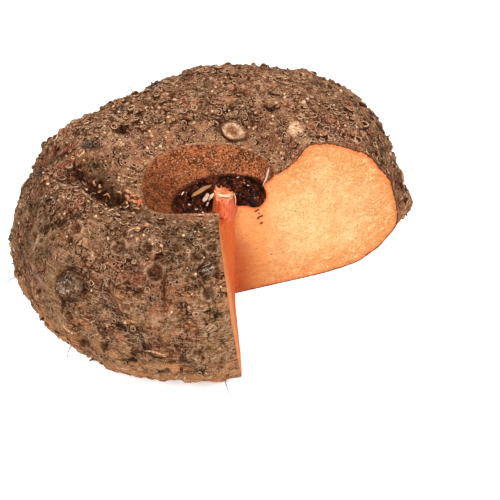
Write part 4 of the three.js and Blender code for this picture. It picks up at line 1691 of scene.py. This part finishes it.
class YAM_OT_shoot_remnant(bpy.types.Operator):
    """Fill the crown with the torn dark base of last year's shoot"""

    bl_idname = "yam.shoot_remnant"
    bl_label = "Shoot remnant"

    # light strips and flakes on the dark tissue: path in mm, half width, how thick for its width
    PALE_BITS = [
        (((-29, 1, 90.5), (-22, 5.5, 92.5), (-15, 10, 93)), 1.9, 0.3),
        (((19.5, 8, 92), (22.3, 12.5, 96.5), (24.4, 17.5, 101.5)), 0.8, 0.7),
        (((-21, -6, 92), (-18.5, -4.5, 95.0), (-17.0, -4, 97.5)), 1.7, 0.35),
        (((-19, -9, 91), (-17, -8, 93.5)), 1.1, 0.5),
        (((-31, -4, 88.5), (-29.5, -5.5, 88.9)), 0.5, 0.6),
        (((-26.5, -9, 88.2), (-24.5, -9.6, 88.6)), 0.7, 0.6),
        (((-35.5, 3, 90.6), (-33.5, 5.5, 91.4)), 0.55, 0.5),
        (((-22, -12, 88), (-20.5, -12.5, 88.4)), 0.7, 0.6),
        (((2, 20, 90.3), (3.8, 20.2, 90.7)), 0.4, 0.5),
        (((9, 14, 88.5), (10.4, 13.4, 89)), 0.5, 0.5),
    ]
    # footprint of the core stump in mm, and how high it stands there
    STUMP = [
        (0.2, 0.6, 93), (-1.1, -4.0, 95), (-2.7, -8.2, 96), (-4.8, -11.6, 96), (-8.5, -13.4, 97),
        (-12.2, -11.5, 99), (-13.8, -7.0, 101), (-13.0, -2.0, 100), (-9.5, 1.8, 98), (-4.5, 3.2, 95),
    ]
    STUMP_FOOT = 78
    # long splinters of the stump: path in mm, radii, number of sides
    SPLINTERS = [
        ([(0.6, -0.4, 83), (0.9, -0.9, 87), (0.7, -1, 91), (0, -0.6, 94.5)], [0.5, 0.75, 0.7, 0.35], 7),
        ([(-13.2, -6.5, 100.5), (-9, -8.5, 99.5), (-4.5, -7.5, 98), (-1.5, -4, 96.5)],
         [0.6, 1.1, 1.2, 0.6], 7),
        ([(-17.0, -7.5, 95), (-15.2, -6.5, 97.5), (-13.6, -6.5, 99.5)], [0.7, 1.5, 0.8], 8),
    ]
    # dried sap on the right cut face: distance from the corner, height, length and half width in mm
    SPECKS = [
        (15.9, 74.2, 3.6, 0.8), (17.4, 71.2, 1.6, 0.5), (18.4, 68.0, 4.6, 0.9), (17.0, 66.4, 1.8, 0.5),
        (19.2, 61.6, 2.0, 0.8), (44.0, 66.0, 1.2, 0.4),
    ]

    def execute(self, context):
        rng = np.random.default_rng(53)
        shreds = [self.shred(rng) for _ in range(context.scene.yam_shoot.shreds)]
        self.set_down("shoot_shreds", shreds, tissue_finish(context.scene.yam_corm, "yam_shreds"))
        self.pale_bits(rng)
        rng = np.random.default_rng(61)
        self.core(rng)
        self.core_splinters(rng)
        self.dried_sap(rng)
        return {"FINISHED"}

    def set_down(self, name, parts, finish, who=None):
        """One piece of many small parts, in mm from the inner corner."""
        points, faces, owner = merged(parts)
        marks = {} if who is None else dict(who=np.array(who)[owner])
        make_piece(name, placed(points), faces, [finish], marks=marks)

    def shred(self, rng):
        """One torn strip, curled round the hole and leaning on its neighbours."""
        tilt = math.radians(CROWN_HOLE["turn"])
        spin = np.array([[math.cos(tilt), -math.sin(tilt)], [math.sin(tilt), math.cos(tilt)]])
        middle = np.array([CROWN_HOLE["x"], CROWN_HOLE["y"]])
        size = np.array([CROWN_HOLE["a"], CROWN_HOLE["b"]])
        steps = np.linspace(-1, 1, 9)[:, None]
        while True:
            turn, out = rng.uniform(0, 2 * math.pi), math.sqrt(rng.uniform(0.1, 0.86))
            span, wide = rng.uniform(2.5, 8), rng.uniform(0.35, 1.5)
            drawn_in = rng.uniform(0.1, 0.6)
            spot = size * (math.cos(turn), math.sin(turn)) * out
            tangent = unit(size * (-math.sin(turn), math.cos(turn)))
            plan = spot + tangent * steps * span - unit(spot) * steps ** 2 * span * drawn_in
            path = np.concatenate([plan @ spin.T + middle, 0 * steps], -1)
            path[:, 2] = CROWN_FLOOR_HEIGHT - 1 + 5 * out ** 5
            path[:, 2] += rng.uniform(0.5, 4.5) * (1 - steps[:, 0] ** 2) + rng.normal(0, 0.4, 9)
            in_notch = (path[:, 0] > 0) & (path[:, 1] < 0)
            if gap_to_cuts(path)[0].min() > wide + 1 and not in_notch.any():
                break
        radii = wide * tapered(9, 1.02, 0.02) * rng.uniform(0.5, 1.4, 9)
        return tube(path, radii, 7, flat=rng.uniform(0.2, 0.45), twist=rng.uniform(-0.25, 0.25))

    def pale_bits(self, rng):
        """The few light strips and flakes that lie on the dark tissue."""
        parts = []
        for ends, wide, thin in self.PALE_BITS:
            path = drawn_through(ends, 10)
            path += rng.normal(0, 0.12, path.shape)
            widths = wide * tapered(10, 1.06, 0.06, 4) ** 2 * rng.uniform(0.85, 1.1, 10)
            parts.append(tube(path, widths, 8, flat=thin))
        finish = grainy_finish(
            "yam_pale_flakes", 0.6, 0.4, 1.1, (0.3, 0.7, (170, 116, 72), (232, 196, 176)),
            by_piece=True, darker=(0.32, (120, 70, 42)),
        )
        self.set_down("shoot_flakes", parts, finish, [0.25] + [0.8] * (len(parts) - 1))

    def core(self, rng):
        """The fibrous stump of the shoot's core, standing in the corner of the hollow."""
        outline = drawn_through(self.STUMP + self.STUMP[:1], 73)[:-1]
        count = len(outline)
        middle = outline[:, :2].mean(0)
        outward = outline[:, :2] - middle
        out = np.concatenate([unit(outward), np.zeros((count, 1))], -1)
        levels = np.linspace(0, 1, 14)
        top = outline[:, 2] + 2.2 * rolling(outline * (1, 1, 0), 2.2, 6) + rng.normal(0, 0.35, count)
        rings = []
        for level in levels:
            z = self.STUMP_FOOT + (top - self.STUMP_FOOT) * level
            plan = middle + outward * (1.06 - 0.1 * level + 0.3 * (1 - level) ** 3)
            ring = np.concatenate([plan, z[:, None]], -1)
            fibres = 0.9 * rolling(ring * (1, 1, 0.12), 1.7, 4) + 0.4 * rolling(ring * (1, 1, 0.4), 1.1, 5)
            rings.append(ring + out * fibres[:, None])
        edge = rings[-1]
        for share in (0.82, 0.6, 0.35):
            ring = edge.copy()
            ring[:, :2] = middle + (ring[:, :2] - middle) * share
            ring[:, 2] += -1.2 * (1 - share) + 1.6 * rolling(ring, 2.4, 8)
            rings.append(ring)
        points = np.concatenate(rings + [rings[0].mean(0, keepdims=True), rings[-1].mean(0, keepdims=True)])
        faces = loop_faces(len(rings), count, len(points) - 2, len(points) - 1)[:, ::-1]
        level = np.concatenate([np.repeat(levels, count), np.ones(3 * count), [0, 1]])

        f = Finish("yam_core_fibres", 0.5, 0.4)
        fibre = f.noise(1.0, 3, 0.6, 0.6, f.vector(f.where, (1100, 1100, 170), "MULTIPLY"))
        blotch = f.noise(4)
        f.ground(f.band(fibre, 0.36, 0.64), (214, 78, 38), (242, 122, 68))
        f.coat((150, 44, 22), f.band(fibre, 0.41, 0.31), 0.65)
        f.coat((250, 186, 130), f.band(f.ragged(f.mark("part"), blotch, 0.4), 0.93, 1.06), 0.8)
        f.coat((250, 176, 118), f.band(blotch, 0.62, 0.7), 0.5)
        finish = f.finish(fibre, 0.8, 0.0007)
        make_piece("shoot_core", placed(points), faces, [finish], marks=dict(part=level))

    def core_splinters(self, rng):
        """Pale splinters along the top and the right side of the stump."""
        parts = [tube(path, radii, sides, flat=0.5) for path, radii, sides in self.SPLINTERS]
        for _ in range(22):
            x, y, z = self.STUMP[rng.integers(0, len(self.STUMP))]
            x, y = x * 0.86 - 0.9 + rng.normal(0, 0.8), y * 0.86 - 0.6 + rng.normal(0, 0.8)
            lean = rng.normal(0, 0.6, 2)
            tall = rng.uniform(1.5, 4.0)
            base = np.array([min(x, -0.6), y, z - 1.5])
            tip = base + (lean[0] * tall, lean[1] * tall, tall)
            path = [base, (base + tip) / 2 + rng.normal(0, 0.2, 3), tip]
            parts.append(tube(path, np.array([0.5, 0.42, 0.2]) * rng.uniform(0.6, 1.5), 6, flat=0.5))
        who = np.concatenate([[0, 0.1, 0.1], rng.random(len(parts) - 3) ** 1.5])
        finish = grainy_finish(
            "yam_core_splinters", 0.55, 0.4, 1.0, (0.0, 0.6, (255, 222, 180), (236, 118, 70)),
            by_piece=True, darker=(0.35, (208, 118, 72)),
        )
        self.set_down("core_splinters", parts, finish, who)

    def dried_sap(self, rng):
        """Dark beads and runs of sap on the right cut face, under the crown."""
        parts = []
        t = np.linspace(-0.5, 0.5, 6)
        for along, height, long, wide in self.SPECKS:
            path = (along + t * long)[:, None] * RIGHT_CUT_ALONG + (height + 0.4 * t * long)[:, None] * UP
            path = path + RIGHT_CUT_OUT * 0.12 + rng.normal(0, 0.12, (6, 3))
            parts.append(tube(path, wide * tapered(6, 1.05, 0.05), 6, flat=0.6))
        tones = (0.4, 0.6, (58, 20, 12), (126, 46, 24))
        self.set_down("dried_sap", parts, grainy_finish("yam_dried_sap", 0.5, 0.3, 0.9, tones, deep=0.0002))


class YAM_OT_stage(bpy.types.Operator):
    """Set the pale floor, the soft lights and the camera"""

    bl_idname = "yam.stage"
    bl_label = "Stage"

    # each soft light: name, place and width in metres
    LIGHTS = [
        ("key", (-0.4, -0.9, 1.2), 0.4), ("fill", (0.85, -0.7, 1.1), 0.5), ("back", (0.0, 0.6, 1.3), 0.7),
    ]
    # how high the lights aim, in metres
    LIT_HEIGHT = 0.06
    # what the camera turns round, in mm from the inner corner, and how far right and down of it, in
    # metres, it looks
    PIVOT = (-18, 12, 60)
    LOOKS_RIGHT, LOOKS_DOWN = 0.0285, 0.0217
    SENSOR_WIDTH = 36
    # how bright the floor and the world are: to the camera, and as light on the yam
    FLOOR_GLOW = 0.6
    WORLD_SEEN, WORLD_LIGHT = 1.0, 0.32

    def execute(self, context):
        settings = context.scene.yam_stage
        scene = context.scene
        scene.view_settings.view_transform = "Standard"
        self.floor(settings)
        self.world(scene)
        for name, place, size in self.LIGHTS:
            self.light(name, getattr(settings, f"{name}_power"), place, size)
        self.camera(scene, settings)
        return {"FINISHED"}

    def floor(self, settings):
        """A wide floor that looks a little brighter to the camera than its light makes it."""
        mesh = bpy.data.meshes.new("floor")
        mesh.from_pydata([(-4, -4, 0), (4, -4, 0), (4, 4, 0), (-4, 4, 0)], [], [(0, 1, 2, 3)])
        f = Finish("studio_floor", 0.9, 0.1)
        f.put(f.shader.inputs["Base Color"], settings.floor_colour)
        seen = f.node("ShaderNodeLightPath", {}).outputs["Is Camera Ray"]
        glow = f.node("ShaderNodeEmission", {"Strength": f.times(seen, self.FLOOR_GLOW)})
        both = f.node("ShaderNodeAddShader", {0: f.shader.outputs[0], 1: glow.outputs[0]})
        f.put(f.tree.nodes["Material Output"].inputs["Surface"], both.outputs[0])
        mesh.materials.append(f.material)
        floor = bpy.data.objects.new("floor", mesh)
        bpy.context.scene.collection.objects.link(floor)

    def world(self, scene):
        """White where the camera sees it, and a softer light on the yam."""
        world = bpy.data.worlds.new("studio")
        scene.world = world
        world.use_nodes = True
        nodes, links = world.node_tree.nodes, world.node_tree.links
        back = nodes["Background"]
        back.inputs["Color"].default_value = (1, 1, 1, 1)
        seen = nodes.new("ShaderNodeLightPath")
        amount = nodes.new("ShaderNodeMapRange")
        amount.inputs["To Min"].default_value = self.WORLD_LIGHT
        amount.inputs["To Max"].default_value = self.WORLD_SEEN
        links.new(seen.outputs["Is Camera Ray"], amount.inputs["Value"])
        links.new(amount.outputs[0], back.inputs["Strength"])

    def light(self, name, power, place, size):
        """One soft square light, aimed at the yam."""
        lamp = bpy.data.lights.new(f"{name}_light", "AREA")
        lamp.energy = power
        lamp.size = size
        lamp_object = bpy.data.objects.new(f"{name}_light", lamp)
        lamp_object.location = place
        aim = Vector((0, 0, self.LIT_HEIGHT)) - Vector(place)
        lamp_object.rotation_euler = aim.to_track_quat("-Z", "Y").to_euler()
        bpy.context.scene.collection.objects.link(lamp_object)

    def camera(self, scene, settings):
        """The camera, in front and above."""
        e = settings.elevation
        back = Vector((0, -math.cos(e), math.sin(e)))
        up = Vector((0, math.sin(e), math.cos(e)))
        aim = Vector(placed(self.PIVOT))
        camera = bpy.data.cameras.new("camera")
        camera.lens = settings.lens
        camera.sensor_width = self.SENSOR_WIDTH
        eye = bpy.data.objects.new("camera", camera)
        eye.location = aim + back * settings.distance
        aim = aim + Vector((self.LOOKS_RIGHT, 0, 0)) - up * self.LOOKS_DOWN
        eye.rotation_euler = (aim - eye.location).to_track_quat("-Z", "Y").to_euler()
        scene.collection.objects.link(eye)
        scene.camera = eye


class YAM_PT_panel(bpy.types.Panel):
    """Pieces of the yam and their settings"""

    bl_label = "Elephant foot yam"
    bl_idname = "YAM_PT_panel"
    bl_space_type = "VIEW_3D"
    bl_region_type = "UI"
    bl_category = "Yam"

    def draw(self, context):
        for operator, group in PIECES:
            box = self.layout.box()
            box.operator(operator.bl_idname)
            settings = getattr(context.scene, group)
            for name in settings.__annotations__:
                box.prop(settings, name)


PIECES = [
    (YAM_OT_corm, "yam_corm"),
    (YAM_OT_root_scars, "yam_scars"),
    (YAM_OT_fibres, "yam_scars"),
    (YAM_OT_roots, "yam_roots"),
    (YAM_OT_shoot_remnant, "yam_shoot"),
    (YAM_OT_stage, "yam_stage"),
]
GROUPS = [
    ("yam_corm", CormSettings),
    ("yam_scars", ScarSettings),
    ("yam_roots", RootSettings),
    ("yam_shoot", ShootSettings),
    ("yam_stage", StageSettings),
]


def register():
    """Adds the settings, operators and panel to Blender."""
    for name, group in GROUPS:
        bpy.utils.register_class(group)
        setattr(bpy.types.Scene, name, bpy.props.PointerProperty(type=group))
    for operator, _ in PIECES:
        bpy.utils.register_class(operator)
    bpy.utils.register_class(YAM_PT_panel)


def unregister():
    """Takes them out again."""
    bpy.utils.unregister_class(YAM_PT_panel)
    for operator, _ in reversed(PIECES):
        bpy.utils.unregister_class(operator)
    for name, group in reversed(GROUPS):
        delattr(bpy.types.Scene, name)
        bpy.utils.unregister_class(group)


def main():
    """Builds every piece and the stage in order."""
    register()
    for operator, _ in PIECES:
        group, name = operator.bl_idname.split(".")
        if getattr(getattr(bpy.ops, group), name)() != {"FINISHED"}:
            raise RuntimeError(f"{operator.bl_label} was not built")


if __name__ == "__main__":
    main()
